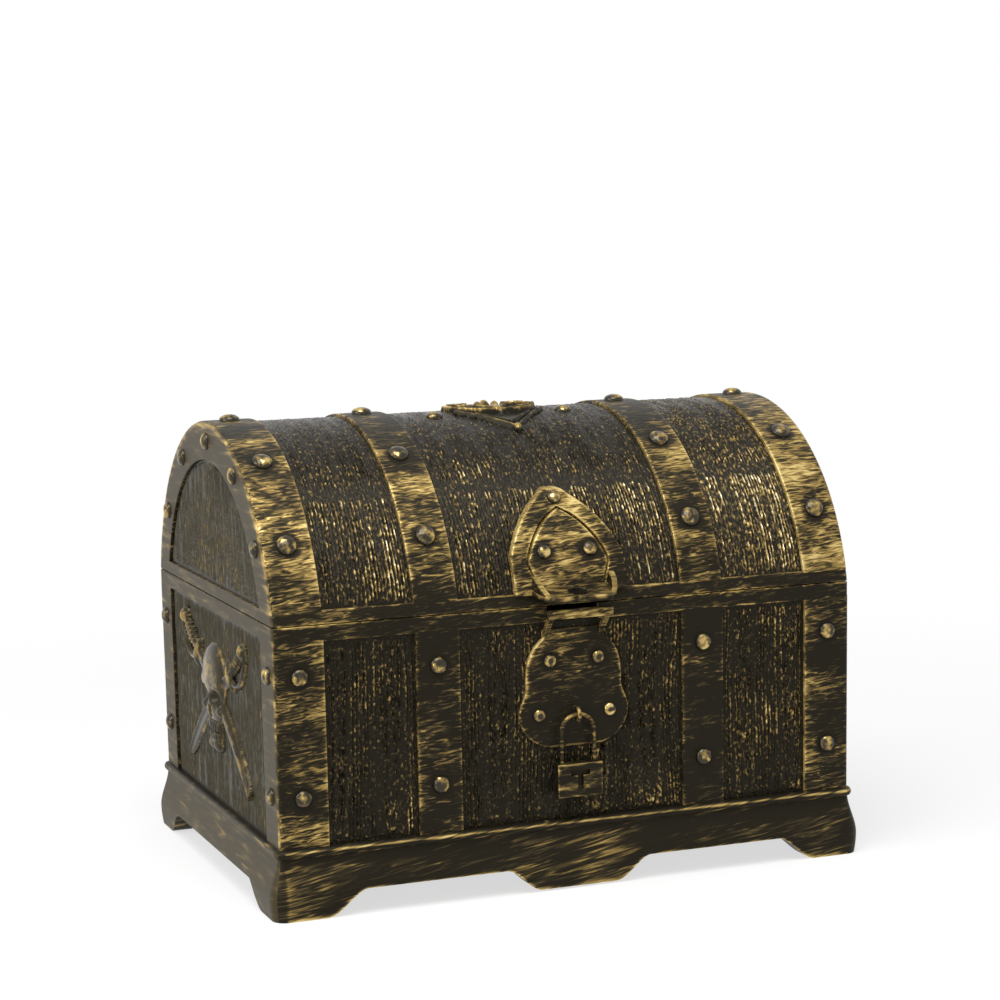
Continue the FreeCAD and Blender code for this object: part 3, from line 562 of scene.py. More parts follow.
rim_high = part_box("rim_band")[1].z
notch_share = NOTCH_HALF / (half_length - CORNER_ROUND)
stations = ring_stations(half_length, half_depth, notch_share, -notch_share)
mesh = swept(stations, rim_section(rim_low, rim_high), rim_place, rim_wear(rim_low, rim_high))
strapwork("rim_band", "chest", end_faces(mesh), strap_finish, end_sheen_finish)
strap_top = rim_low + SEAM_LAP
strap_steps = [plinth_top + (strap_top - plinth_top) * i / STRAP_STEPS for i in range(STRAP_STEPS + 1)]
for wall, face_y, out_y in (("front", tub_low.y, -1), ("back", tub_high.y, 1)):
    for side, gilding in STRAP_GILDING.items():
        low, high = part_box(f"{wall}_strap_{side}")
        strap_middle, width = (low.x + high.x) / 2, high.x - low.x
        studs = [(strap_middle / MM, z) for z in STUD_HEIGHTS]
        mesh = swept(
            strap_steps, strap_section(width, STRAP_RISE + SEAM_RISE, BOARD_SINK),
            lambda z, across, out: Vector((strap_middle + across, face_y + out_y * out, z)),
            lambda z, across, out: gilding + brush_marks(
                (strap_middle + across) / MM, z / MM, (width / 2 - abs(across)) / MM,
                3 * out_y + strap_middle / MM, studs, STUD_RADIUS, STRAP_GOLD))
        strapwork(f"{wall}_strap_{side}", "chest", mesh, strap_finish)

# Corner straps of the tub
# An angle strap wraps each upright corner, with a small round on the corner itself.
# The front arm is streaked with gold like the other straps; the arm on the end is nearly bare.
OUTER_ROUND = 1.2 * MM
CORNER_GILDING = {"left": 0.31, "right": 0.25}


def angle_section(front_arm, end_arm, thick, step=0.55 * MM):
    """An angle bar's section as distances in from the end face and in from the front face."""
    section = [(front_arm, thick)]
    section += rounded((front_arm, thick), (front_arm, 0), (0, 0), EDGE_ROUND)
    section += run((front_arm - EDGE_ROUND, 0), (OUTER_ROUND, 0), step)[1:]
    section += rounded((front_arm, 0), (0, 0), (0, end_arm), OUTER_ROUND, 6)
    section += run((0, OUTER_ROUND), (0, end_arm - EDGE_ROUND), step)[1:]
    section += rounded((0, 0), (0, end_arm), (thick, end_arm), EDGE_ROUND)
    section += [(thick, end_arm), (thick, thick)]
    return section


thick = STRAP_RISE + BOARD_SINK
end_face = half_length + STRAP_RISE + SEAM_RISE
wall_face = half_depth + STRAP_RISE + SEAM_RISE
corner_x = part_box("front_studs")[1].x - STUD_RADIUS * MM
for wall, out_y in (("front", -1), ("back", 1)):
    for side, out_x in (("left", -1), ("right", 1)):
        low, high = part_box(f"corner_strap_{wall}_{side}")
        front_arm, end_arm = high.x - low.x, high.y - low.y
        studs = [(out_x * corner_x / MM, z) for z in STUD_HEIGHTS]

        def corner_wear(z, in_x, in_y):
            if in_y > OUTER_ROUND:
                return 0.22 + 0.12 * noise.noise((z / MM * 0.08, in_y / MM * 0.3, 2))
            x, inside = out_x * (end_face - in_x) / MM, min(front_arm - in_x, in_x) / MM
            return CORNER_GILDING[side] + brush_marks(
                x, z / MM, inside, 5 * out_y + out_x, studs, STUD_RADIUS, STRAP_GOLD)

        def corner_place(z, in_x, in_y):
            return Vector((out_x * (end_face - in_x), middle_y + out_y * (wall_face - in_y), z))

        mesh = swept(strap_steps, angle_section(front_arm, end_arm, thick), corner_place, corner_wear)
        strapwork(f"corner_strap_{wall}_{side}", "chest", end_faces(mesh), strap_finish, end_sheen_finish)

# Nail heads of the tub
# Domed nail heads sit on the straps, two to a strap, moulded with it on the original.
# Their crowns are rubbed gold and a dark line stays round each foot.
DOME_RISE = 1.3 * MM
HEAD_FOOT = -0.2 * MM
HEAD_COLLAR = 0.12 * MM
HEAD_SIDES = 24


def add_dome(mesh, spot, outward, radius, rise, dimple):
    """A domed head on a short foot, spun round its own axis and set at a spot so that it points outward."""
    wear = mesh.verts.layers.float.get("wear") or mesh.verts.layers.float.new("wear")
    profile = [mesh.verts.new((radius, 0, HEAD_FOOT)), mesh.verts.new((radius, 0, HEAD_COLLAR))]
    for degrees in (15, 30, 45, 60, 75, 90):
        turn = math.radians(degrees)
        dome = math.sin(turn) - dimple * eased(degrees, 50, 90)
        height = HEAD_COLLAR + (rise - HEAD_COLLAR) * dome
        profile.append(mesh.verts.new((radius * math.cos(turn), 0, height)))
    edges = [mesh.edges.new(pair) for pair in zip(profile, profile[1:])]
    bmesh.ops.spin(mesh, geom=profile + edges, cent=(0, 0, 0), axis=(0, 0, 1), angle=math.tau,
                   steps=HEAD_SIDES, use_merge=True)
    verts = {vert for edge in mesh.edges if edge.is_valid for vert in edge.verts if not vert.tag}
    for vert in verts:
        vert.tag = True
        share = max(vert.co.z, 0) / rise
        middle = 1 - eased(math.hypot(vert.co.x, vert.co.y) / radius, 0.2, 0.5)
        # On dimpled heads the gold ring round a dark middle is partly dry-brushing and partly a painted ring
        # highlight.
        vert[wear] = -0.1 + 0.55 * eased(share, 0.2, 0.7) + dimple * (0.55 - 1.2 * middle)
    turn = Vector(outward).to_track_quat("Z", "Y").to_matrix().to_4x4()
    bmesh.ops.transform(mesh, matrix=Matrix.Translation(spot) @ turn, verts=list(verts))


def nail_heads(node, body, places, radius, rise, dimple=0.0):
    """One piece of domed heads in place of a node of plain ones; the radius is in millimetres."""
    mesh = bmesh.new()
    for spot, outward in places:
        add_dome(mesh, Vector(spot), outward, radius * MM, rise, dimple)
    bmesh.ops.remove_doubles(mesh, verts=mesh.verts, dist=0.002 * MM)
    rim = [edge for edge in mesh.edges if edge.is_boundary]
    bmesh.ops.holes_fill(mesh, edges=rim, sides=0)
    bmesh.ops.recalc_face_normals(mesh, faces=mesh.faces)
    studs = finished(node + "_domed", mesh, stud_finish)
    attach(studs, body)
    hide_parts(node)


stud_finish = dry_brushed("brushed_studs", (480, 480, 480), 3.0, metal=0.85, rough=0.19, relief=0.06,
                          gloss=0.5)
strap_x = (strap_right[0].x + strap_right[1].x) / 2
stud_columns = (-corner_x, -strap_x, strap_x, corner_x)
for wall, out_y in (("front", -1), ("back", 1)):
    places = [((x, middle_y + out_y * wall_face, z * MM), (0, out_y, 0))
              for x in stud_columns for z in STUD_HEIGHTS]
    nail_heads(f"{wall}_studs", "chest", places, STUD_RADIUS, DOME_RISE)
end_stud_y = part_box("end_studs_left")[1].y - STUD_RADIUS * MM - middle_y
for side, out_x in (("left", -1), ("right", 1)):
    places = [((out_x * end_face, middle_y + share * end_stud_y, z * MM), (out_x, 0, 0))
              for share in (-1, 1) for z in STUD_HEIGHTS]
    nail_heads(f"end_studs_{side}", "chest", places, STUD_RADIUS, DOME_RISE)

# Boards of the lid
# The barrel lid shows boards that run over it from front to back between the bands, in the same raised grain.
# A joint crosses every panel half-way up, where the grain fades out and starts again.
lid_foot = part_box("lid_rim_band")[1].z
lid_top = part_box("lid_band_left")[1].z
rim_half = half_depth + STRAP_RISE
lid_rise = lid_top - rim_high
lid_radius = (rim_half ** 2 + lid_rise ** 2) / (2 * lid_rise)
lid_axis = lid_top - lid_radius
core_radius = lid_radius - STRAP_RISE
JOINT_ANGLE = 45
LID_BOARD_CELL = 0.2 * MM
# The lid boards' base is a little lighter than the wall boards', as painted sheen on the lid top, and their
# palest gold is partly painted glints.
LID_BOARD_SHEEN_DARK = (0.009, 0.0078, 0.0055)
LID_BOARD_GOLD_GLINT = (0.8, 0.7, 0.45)
# The right panel's extra gold is partly painted light, standing for light falling on the lid from the right.
LID_BOARD_GILDING_AND_RIGHT_LIGHT = {"left": 0.12, "middle": 0.12, "right": 0.22}


def lid_point(x, angle, radius):
    """A point on the barrel: the angle runs from the crown towards the front."""
    return Vector((x, middle_y - radius * math.sin(angle), lid_axis + radius * math.cos(angle)))


def foot_angle(radius, height=lid_foot):
    """The angle at which a circle of the barrel comes down to the lid's foot band."""
    return math.acos((height - lid_axis) / radius)


def lid_figure(across, reach, seed, gilding):
    joint = math.radians(JOINT_ANGLE) * core_radius / MM

    def figure(u, v):
        inside = min(u - across[0] / MM, across[1] / MM - u, reach / MM - abs(v))
        height = raised_grain(u, v, seed) * eased(inside, 0.2, MARGIN)
        from_joint = abs(v) - joint + 0.8 * noise.noise((u * 0.3, 0, seed))
        height *= 0.15 + 0.85 * max(eased(from_joint, 0.5, 1.1), eased(-from_joint, 2.4, 4.2))
        height *= 0.55 + 0.45 * eased(abs(v), 6, 26)
        row = 0.3 * height * math.exp(-((from_joint - 1.7) / 0.8) ** 2)
        patch = noise.noise((u * 0.08, v * 0.06, seed + 20)) + 0.25 * eased(abs(v), 20, 50)
        gold = 0.9 * height ** 1.4 * max(0.65 + 1.1 * patch, 0.25) * (0.2 + 0.8 * eased(abs(v), 24, 44))
        return height, gilding + gold + row
    return figure


lid_board_finish = dry_brushed("brushed_glinting_lid_boards", (1700, 850, 850), 2.3, metal=0.4, rough=0.27, relief=0.7,
                               dark=LID_BOARD_SHEEN_DARK, gloss=0.16, bright=LID_BOARD_GOLD_GLINT)
reach = core_radius * foot_angle(core_radius)
for number, (side, span) in enumerate(panel_spans.items()):
    mesh = grained_board(
        span, (-reach, reach),
        lambda u, v, rise: lid_point(u, v / core_radius, core_radius + rise),
        lid_figure(span, reach, 50 + 4.3 * number, LID_BOARD_GILDING_AND_RIGHT_LIGHT[side]), LID_BOARD_CELL)
    boarding(f"lid_board_{side}", "lid", mesh, lid_board_finish)

# Lining of the lid
# Inside, the lid is bare black plastic in one with its wall. The moulding is hollow behind the bands,
# so that three smooth panels stand a little proud of it between shallow channels.
LID_WALL = 2.0 * MM
LINING_PROUD = 0.5 * MM
LINING_FOOT = 0.6 * MM
LINING_LAP = 0.05 * MM
LINING_END_LAP = 0.1 * MM
LINING_EDGE = 0.3 * MM
lining_radius = core_radius - LID_WALL
lining_reach = foot_angle(lining_radius - LINING_PROUD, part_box("lid_shell")[0].z + LINING_FOOT)
lining_end = half_length - LID_WALL + LINING_END_LAP
for side, span in panel_spans.items():
    low_x = -lining_end if side == "left" else span[0] - LINING_LAP
    high_x = lining_end if side == "right" else span[1] + LINING_LAP
    mesh = swept(
        [lining_reach * (i / 40 - 1) for i in range(81)],
        strap_section(high_x - low_x, LINING_PROUD, BOARD_SINK, LINING_EDGE, 2 * MM),
        lambda angle, across, out: lid_point((low_x + high_x) / 2 + across, angle, lining_radius - out),
        lambda angle, across, out: 0.0)
    boarding(f"lid_lining_{side}", "lid", mesh, bare_plastic)

# End boards of the lid
# Each end of the barrel is closed by a half-round board with upright grain, inside the end band's flange.
# It is moulded with the lid, and finished like the end boards of the tub: a lighter grey base that is painted
# sheen, and grey gold on the grain that is partly gold paint and partly painted glints.
FLANGE_DEPTH = 9.4 * MM
HALF_ROUND_COLUMNS = 260
HALF_ROUND_CELL = 0.32 * MM
flange_radius = lid_radius - FLANGE_DEPTH


def arch_half(z):
    return math.sqrt(max(flange_radius ** 2 - (z - lid_axis) ** 2, (0.05 * MM) ** 2))


def lid_end_figure(share, z):
    """Grain on the half-round end, at a share of the half width there."""
    half = arch_half(z) / MM
    across, along = share * half, z / MM
    inside = min(half * (1 - abs(share)), along - lid_foot / MM, (flange_radius + lid_axis - z) / MM)
    height = raised_grain(across, along, 71) * eased(inside, 0.2, MARGIN)
    return height, 0.16 + 0.34 * height * (0.7 + noise.noise((across * 0.09, along * 0.06, 91)))


def half_round_board(face_x, out):
    mesh = bmesh.new()
    low, high = lid_foot, lid_axis + flange_radius
    rows = round((high - low) / HALF_ROUND_CELL)
    bmesh.ops.create_grid(mesh, x_segments=HALF_ROUND_COLUMNS, y_segments=rows, size=0.5)
    wear = mesh.verts.layers.float.new("wear")
    for vert in mesh.verts:
        share, z = 2 * vert.co.x, low + (vert.co.y + 0.5) * (high - low)
        height, gilt = lid_end_figure(share, z)
        rise = BOARD_SKIN + BOARD_RISE * height
        vert.co = Vector((face_x + out * rise, middle_y + share * arch_half(z), z))
        vert[wear] = gilt
    rim = [edge for edge in mesh.edges if edge.is_boundary]
    bmesh.ops.extrude_edge_only(mesh, edges=rim)
    rim = [edge for edge in mesh.edges if edge.is_boundary]
    for vert in {vert for edge in rim for vert in edge.verts}:
        vert.co.x = face_x - out * BOARD_SINK
    bmesh.ops.holes_fill(mesh, edges=rim, sides=0)
    bmesh.ops.recalc_face_normals(mesh, faces=mesh.faces)
    return mesh


for side, face_x, out in (("left", -half_length, -1), ("right", half_length, 1)):
    boarding(f"lid_end_board_{side}", "lid", half_round_board(face_x, out), end_board_sheen_finish)

# Bands of the lid
# A foot band runs round the lid, two bands run over it, and the end bands turn down in a flange on each end.
# They carry the same dragged gold paint, with a painted highlight band half-way up the front and less gold
# near the crown.
LID_STUD_ANGLES = (-58, -31, 0, 31, 58)
LID_STUD_RADIUS = 2.5
LID_STEPS = 240
LID_GOLD = {"edge": 0.1, "line": 0.2, "patch": 0.38, "stud": -0.35}
# On the right the bands get more gold, partly painted light falling from the right.
LID_GILDING_AND_RIGHT_LIGHT = {"left": 0.27, "right": 0.36}
END_BAND_GILDING_AND_RIGHT_LIGHT = {"left": 0.38, "right": 0.5}
lid_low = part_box("lid_rim_band")[0].z


def lid_rim_place(station, z, out):
    depth = math.sqrt(core_radius ** 2 - (z - lid_axis) ** 2)
    return ring_point(station, half_length, depth, out, z)


mesh = swept(plinth_stations, rim_section(lid_low, lid_foot), lid_rim_place, rim_wear(lid_low, lid_foot),
             ring=True)
strapwork("lid_rim_band", "lid", end_faces(mesh), strap_finish, end_sheen_finish)

lid_shares = [-1 + 2 * i / LID_STEPS for i in range(LID_STEPS + 1)]
lid_studs = [(x / MM, math.radians(degrees) * lid_radius / MM)
             for degrees in LID_STUD_ANGLES for x in stud_columns]


def lid_band_wear(x, angle, inside, seed):
    """Gold on a band over the lid: brushed paint, with a painted highlight band half-way up and less near the
    crown.
    """
    degrees = math.degrees(angle)
    # glow paints a highlight band half-way up the front and takes gold off near the crown.
    glow = math.exp(-((abs(degrees) - 47) / 14) ** 2) - 0.7 * math.exp(-(degrees / 24) ** 2)
    along = angle * lid_radius / MM
    return 0.15 * glow + brush_marks(x, along, inside, seed, lid_studs, LID_STUD_RADIUS, LID_GOLD)


lap_foot = lid_foot - SEAM_LAP
for side in ("left", "right"):
    low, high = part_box(f"lid_band_{side}")
    band_middle, width = (low.x + high.x) / 2, high.x - low.x

    def band_place(share, across, out):
        radius = core_radius + out
        return lid_point(band_middle + across, share * foot_angle(radius, lap_foot), radius)

    mesh = swept(
        lid_shares, strap_section(width, STRAP_RISE + SEAM_RISE, BOARD_SINK), band_place,
        lambda share, across, out: LID_GILDING_AND_RIGHT_LIGHT[side] + lid_band_wear(
            (band_middle + across) / MM, share * foot_angle(lid_radius), (width / 2 - abs(across)) / MM,
            7 + band_middle / MM))
    strapwork(f"lid_band_{side}", "lid", mesh, strap_finish)

for side, out_x in (("left", -1), ("right", 1)):
    low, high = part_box(f"lid_corner_band_{side}")
    front_arm = high.x - low.x

    def end_band_place(share, in_x, in_r):
        radius = lid_radius + SEAM_RISE - in_r
        return lid_point(out_x * (end_face - in_x), share * foot_angle(radius, lap_foot), radius)

    def end_band_wear(share, in_x, in_r):
        if in_r > OUTER_ROUND:
            patch = noise.noise((share * 5, in_r / MM * 0.3, 2))
            return 0.22 + 0.12 * patch + 0.3 * math.exp(-(in_r / MM - 1.2))
        x, inside = out_x * (end_face - in_x) / MM, min(front_arm - in_x, in_x) / MM
        return END_BAND_GILDING_AND_RIGHT_LIGHT[side] + lid_band_wear(x, share * foot_angle(lid_radius), inside, 11 + out_x)

    mesh = swept(lid_shares, angle_section(front_arm, FLANGE_DEPTH, thick), end_band_place, end_band_wear)
    strapwork(f"lid_corner_band_{side}", "lid", end_faces(mesh), strap_finish, end_sheen_finish)

# Nail heads of the lid
# Larger domed heads follow the bands over the lid, and a row of small ones follows each end flange.
# They are moulded with the bands and rubbed gold like those of the tub.
LID_DOME_RISE = 1.5 * MM
LID_END_ANGLES = (-56, -29, 0, 29, 56)
end_stud_radius = lid_radius - FLANGE_DEPTH / 2


def barrel_outward(turn):
    return (0, -math.sin(turn), math.cos(turn))


places = []
for x in stud_columns:
    for degrees in LID_STUD_ANGLES:
        turn = math.radians(degrees)
        places.append((lid_point(x, turn, lid_radius), barrel_outward(turn)))
nail_heads("lid_band_studs", "lid", places, LID_STUD_RADIUS, LID_DOME_RISE)
for side, out_x in (("left", -1), ("right", 1)):
    places = [(lid_point(out_x * end_face, math.radians(degrees), end_stud_radius), (out_x, 0, 0))
              for degrees in LID_END_ANGLES]
    nail_heads(f"lid_end_studs_{side}", "lid", places, STUD_RADIUS, DOME_RISE)

# Lock plate
# A flat plate with two lobes hangs under the catch on the front wall, held by four small nail heads.
# It is moulded with the wall; its upper half is streaked with gold and a thin gold line follows its edge.
plate_low, plate_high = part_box("lock_plate")
PLATE_FLAT = 5.0
PLATE_LOBE = (13.9, 42.4)
PLATE_WAIST = (12.1, 48.6)
PLATE_SHOULDER = (7.7, 60.4)
PLATE_FLANK_POWER = 3.33
PLATE_LIP = 0.3 * MM
PLATE_STUD_RADIUS = 1.6
PLATE_STUD_RISE = 1.0 * MM
PLATE_STUD_DIMPLE = 0.55
PLATE_STUDS = ((-6.1, 55.0), (6.1, 55.0), (-9.0, 42.1), (9.0, 42.1))
plate_rise = tub_low.y - plate_low.y


def plate_half(z):
    """Half the plate's width at a height, in millimetres: lobes, a waist, and shoulders up to the neck."""
    bottom = plate_low.z / MM
    if z < PLATE_LOBE[1]:
        share = (PLATE_LOBE[1] - z) / (PLATE_LOBE[1] - bottom)
        return PLATE_FLAT + (PLATE_LOBE[0] - PLATE_FLAT) * math.sqrt(max(1 - share * share, 0))
    if z < PLATE_WAIST[1]:
        return PLATE_LOBE[0] - (PLATE_LOBE[0] - PLATE_WAIST[0]) * eased(z, PLATE_LOBE[1], PLATE_WAIST[1])
    share = min((z - PLATE_WAIST[1]) / (PLATE_SHOULDER[1] - PLATE_WAIST[1]), 1)
    return PLATE_WAIST[0] - (PLATE_WAIST[0] - PLATE_SHOULDER[0]) * share ** PLATE_FLANK_POWER


def share_section(rise, sink, edge_share=0.03, edge=EDGE_ROUND, count=40):
    """A plate's section with its width as a share from -1 to 1 and its two outer edges rounded."""
    section = [(-1.0, -sink), (-1.0, rise - edge)]
    section += [(-1 + edge_share * share, rise - edge * (1 - share) ** 2) for share in (0.3, 0.65)]
    section += [(-1 + edge_share + (2 - 2 * edge_share) * i / count, rise) for i in range(count + 1)]
    section += [(1 - edge_share * share, rise - edge * (1 - share) ** 2) for share in (0.65, 0.3)]
    section += [(1.0, rise - edge), (1.0, -sink)]
    return section


def plate_place(z, share, out):
    lip = 1 - 0.2 * (1 - eased(z - plate_low.z, 0, PLATE_LIP))
    return Vector((share * plate_half(z / MM) * MM, tub_low.y - out * lip, z))


def plate_wear(z, share, out):
    x, height = share * plate_half(z / MM), z / MM
    inside = min((1 - abs(share)) * plate_half(height), height - plate_low.z / MM)
    edge = math.exp(-(inside / 0.5) ** 2) * (0.95 + 0.4 * noise.noise((x * 0.3, height * 0.3, 3)))
    patch = noise.noise((x * 0.07, height * 0.16, 17)) + 0.4 * noise.noise((x * 0.2, height * 0.4, 18))
    upper = eased(height, 44, 52)
    shade = stud_shade(x, height, PLATE_STUDS, PLATE_STUD_RADIUS)
    return 0.07 + 0.2 * upper + 0.5 * edge + 0.4 * patch * (0.4 + 0.6 * upper) - 0.3 * shade


steps = [plate_low.z + PLATE_LIP * i / 3 for i in range(4)]
steps += [plate_low.z + PLATE_LIP + (plate_high.z - plate_low.z - PLATE_LIP) * i / 60 for i in range(1, 61)]
mesh = swept(steps, share_section(plate_rise, BOARD_SINK), plate_place, plate_wear)
strapwork("lock_plate", "chest", mesh, strap_finish)
places = [((x * MM, plate_low.y, z * MM), (0, -1, 0)) for x, z in PLATE_STUDS]
nail_heads("lock_plate_studs", "chest", places, PLATE_STUD_RADIUS, PLATE_STUD_RISE, PLATE_STUD_DIMPLE)

# Catch loop
# A short bar stands in front of the rim on two posts that lean out of the plate's neck, under the hasp's tab.
# The bar is rubbed gold along its front and the posts stay dark.
loop_low, loop_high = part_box("catch_loop")
BAR_DEPTH = 1.6 * MM
BAR_HEIGHT = 2.2 * MM
BAR_EDGE = 0.3 * MM
POST_INNER = 6.5 * MM
POST_WIDTH = 1.2 * MM
POST_EDGE = 0.2 * MM
POST_ROOT = 0.3 * MM


def box_section(width, height, edge, step):
    """A closed section with four rounded corners, centred on zero."""
    half, tall = width / 2, height / 2
    corners = [(-half, -tall), (-half, tall), (half, tall), (half, -tall)]
    section = []
    for number, corner in enumerate(corners):
        before, after = corners[number - 1], corners[(number + 1) % 4]
        section += rounded(before, corner, after, edge)
        stop = Vector(after) + (Vector(corner) - Vector(after)).normalized() * edge
        section += run(section[-1], stop, step)[1:]
    return section


def joined(mesh, *others):
    """Puts other closed shells into the mesh of the same piece."""
    for other in others:
        spare = bpy.data.meshes.new("spare")
        other.to_mesh(spare)
        other.free()
        mesh.from_mesh(spare)
        bpy.data.meshes.remove(spare)
    return mesh


bar_y, bar_z = loop_low.y + BAR_DEPTH / 2, loop_high.z - BAR_HEIGHT / 2
bar_steps = [loop_low.x + (loop_high.x - loop_low.x) * i / 32 for i in range(33)]


def bar_place(x, across, out):
    ease = 1 - 0.12 * (1 - eased(loop_high.x - abs(x), 0, 0.35 * MM))
    return Vector((x, bar_y + across * ease, bar_z + out * ease))


mesh = swept(
    bar_steps, box_section(BAR_DEPTH, BAR_HEIGHT, BAR_EDGE, 0.4 * MM), bar_place,
    lambda x, across, out: 0.58 + 0.3 * noise.noise((x / MM * 0.2, out / MM * 0.6, 5)) if across < 0 else 0.2)
low_foot = Vector((0, plate_low.y + POST_ROOT, PLATE_SHOULDER[1] * MM))
high_foot = Vector((0, plate_low.y + POST_ROOT, plate_high.z))
low_head = Vector((0, loop_low.y + BAR_EDGE, bar_z))
high_head = Vector((0, loop_low.y + BAR_DEPTH, bar_z))
for side in (-1, 1):
    post_middle = side * (POST_INNER + POST_WIDTH / 2)

    def post_place(share, across, out):
        low, high = low_foot.lerp(low_head, share), high_foot.lerp(high_head, share)
        return low.lerp(high, out + 0.5) + Vector((post_middle + across, 0, 0))

    post = swept(
        [i / 12 for i in range(13)], box_section(POST_WIDTH, 1.0, POST_EDGE, 0.25), post_place,
        lambda share, across, out: 0.22 + 0.2 * share + 0.25 * eased(abs(across), 0.3 * MM, 0.55 * MM))
    joined(mesh, post)
strapwork("catch_loop", "chest", mesh, strap_finish)

# Staple and padlock shackle
# Both are bent round wire: the staple stands out of the lock plate and the shackle hangs in it.
# On the original they are moulded; they are rubbed gold, the staple most on its bow.
WIRE_SIDES = 14
BEND_STEPS = 24
staple_low, staple_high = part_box("staple")
shackle_low, shackle_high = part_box("padlock_shackle")
lock_finish = dry_brushed("brushed_lock", (260, 1100, 1100), 1.6, metal=0.65, rough=0.38, distortion=0.7,
                          relief=0.3)


def bent_wire(radius, centre, reach, axis, legs):
    """Round wire bent half round a centre about an axis, from a start at reach, with two straight legs."""
    wire = bmesh.new()
    made = bmesh.ops.create_circle(wire, segments=WIRE_SIDES, radius=radius)
    turn = Vector(legs).to_track_quat("Z", "Y").to_matrix().to_4x4()
    bmesh.ops.transform(wire, matrix=Matrix.Translation(centre + reach) @ turn, verts=made["verts"])
    start_edges = list(wire.edges)
    spun = bmesh.ops.spin(wire, geom=list(wire.verts) + start_edges, cent=centre, axis=axis, angle=math.pi,
                          steps=BEND_STEPS)
    last_edges = [part for part in spun["geom_last"] if isinstance(part, bmesh.types.BMEdge)]
    for edges in (start_edges, last_edges):
        made = bmesh.ops.extrude_edge_only(wire, edges=edges)
        verts = [part for part in made["geom"] if isinstance(part, bmesh.types.BMVert)]
        bmesh.ops.translate(wire, vec=legs, verts=verts)
    bmesh.ops.remove_doubles(wire, verts=wire.verts, dist=0.001 * MM)
    bmesh.ops.holes_fill(wire, edges=[edge for edge in wire.edges if edge.is_boundary], sides=0)
    bmesh.ops.recalc_face_normals(wire, faces=wire.faces)
    return wire


def brush(mesh, wear_at):
    """Gives every vertex its wear from its place, in millimetres."""
    wear = mesh.verts.layers.float.get("wear") or mesh.verts.layers.float.new("wear")
    for vert in mesh.verts:
        vert[wear] = wear_at(vert.co.x / MM, vert.co.y / MM, vert.co.z / MM)
    return mesh


wire_radius = (staple_high.x - staple_low.x) / 2
ring_radius = (staple_high.z - staple_low.z) / 2 - wire_radius
ring_centre = Vector((0, staple_low.y + ring_radius + wire_radius, (staple_low.z + staple_high.z) / 2))
mesh = bent_wire(wire_radius, ring_centre, Vector((0, 0, ring_radius)), (1, 0, 0),
                 Vector((0, staple_high.y - ring_centre.y + BOARD_SINK, 0)))
brush(mesh, lambda x, y, z: 0.3 + 0.25 * eased(-y, 52, 54))
staple = finished("staple_bent", mesh, lock_finish)
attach(staple, "chest")
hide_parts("staple")

wire_radius = (shackle_high.y - shackle_low.y) / 2
bow_radius = shackle_high.x - wire_radius
bow_centre = Vector((0, (shackle_low.y + shackle_high.y) / 2, shackle_high.z - shackle_high.x))
mesh = bent_wire(wire_radius, bow_centre, Vector((bow_radius, 0, 0)), (0, -1, 0),
                 Vector((0, 0, shackle_low.z - bow_centre.z)))
brush(mesh, lambda x, y, z: 0.42 + 0.3 * noise.noise((x * 0.3, 0, z * 0.3)))
shackle = finished("padlock_shackle_bent", mesh, lock_finish)
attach(shackle, "padlock")
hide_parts("padlock_shackle")

# Padlock case
# A small flat case with softened edges, moulded solid, with a keyhole sunk in its face: a slot over a stem.
# Gold lies on its edges and in level streaks, and the keyhole stays dark.
case_low, case_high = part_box("padlock_case")
CASE_EDGE = 0.4 * MM
KEY_HALF = 2.45 * MM
KEY_BAR = 1.3 * MM
KEY_STEM = 0.75 * MM
KEY_DROP = 1.7 * MM
KEY_TALL = 4.5 * MM
KEY_DEPTH = 0.8 * MM
CASE_CELL = 0.6 * MM


def box_between(low, high):
    block = bmesh.new()
    made = bmesh.ops.create_cube(block, size=1)
    bmesh.ops.scale(block, vec=high - low, verts=made["verts"])
    bmesh.ops.translate(block, vec=(low + high) / 2, verts=made["verts"])
    return block


def sliced(block, axis, places):
    """Cuts the mesh across at each place along an axis, so that paint can vary over its faces."""
    normal = Vector([1.0 if number == axis else 0.0 for number in range(3)])
    for place in places:
        everything = list(block.verts) + list(block.edges) + list(block.faces)
        bmesh.ops.bisect_plane(block, geom=everything, dist=0.001 * MM, plane_co=normal * place,
                               plane_no=normal)


mesh = box_between(case_low, case_high)
bmesh.ops.bevel(mesh, geom=list(mesh.edges), offset=CASE_EDGE, affect="EDGES", segments=3, profile=0.5,
                material=-1)
key_top = case_high.z - KEY_DROP
sliced(mesh, 0, [-KEY_HALF, -KEY_STEM, KEY_STEM, KEY_HALF])
sliced(mesh, 2, [key_top, key_top - KEY_BAR, key_top - KEY_TALL])
mesh.normal_update()


def in_keyhole(face):
    spot = face.calc_center_median()
    if face.normal.y > -0.9 or not key_top - KEY_TALL < spot.z < key_top:
        return False
    return abs(spot.x) < (KEY_HALF if spot.z > key_top - KEY_BAR else KEY_STEM)


covering = [face for face in mesh.faces if in_keyhole(face)]
hole = bmesh.ops.extrude_face_region(mesh, geom=covering)
verts = [part for part in hole["geom"] if isinstance(part, bmesh.types.BMVert)]
bmesh.ops.translate(mesh, vec=(0, KEY_DEPTH, 0), verts=verts)
bmesh.ops.delete(mesh, geom=[face for face in covering if face.is_valid], context="FACES")
sliced(mesh, 0, [case_low.x + CASE_CELL * i for i in range(1, 20)])
sliced(mesh, 2, [case_low.z + CASE_CELL * i for i in range(1, 14)])
bmesh.ops.recalc_face_normals(mesh, faces=mesh.faces)


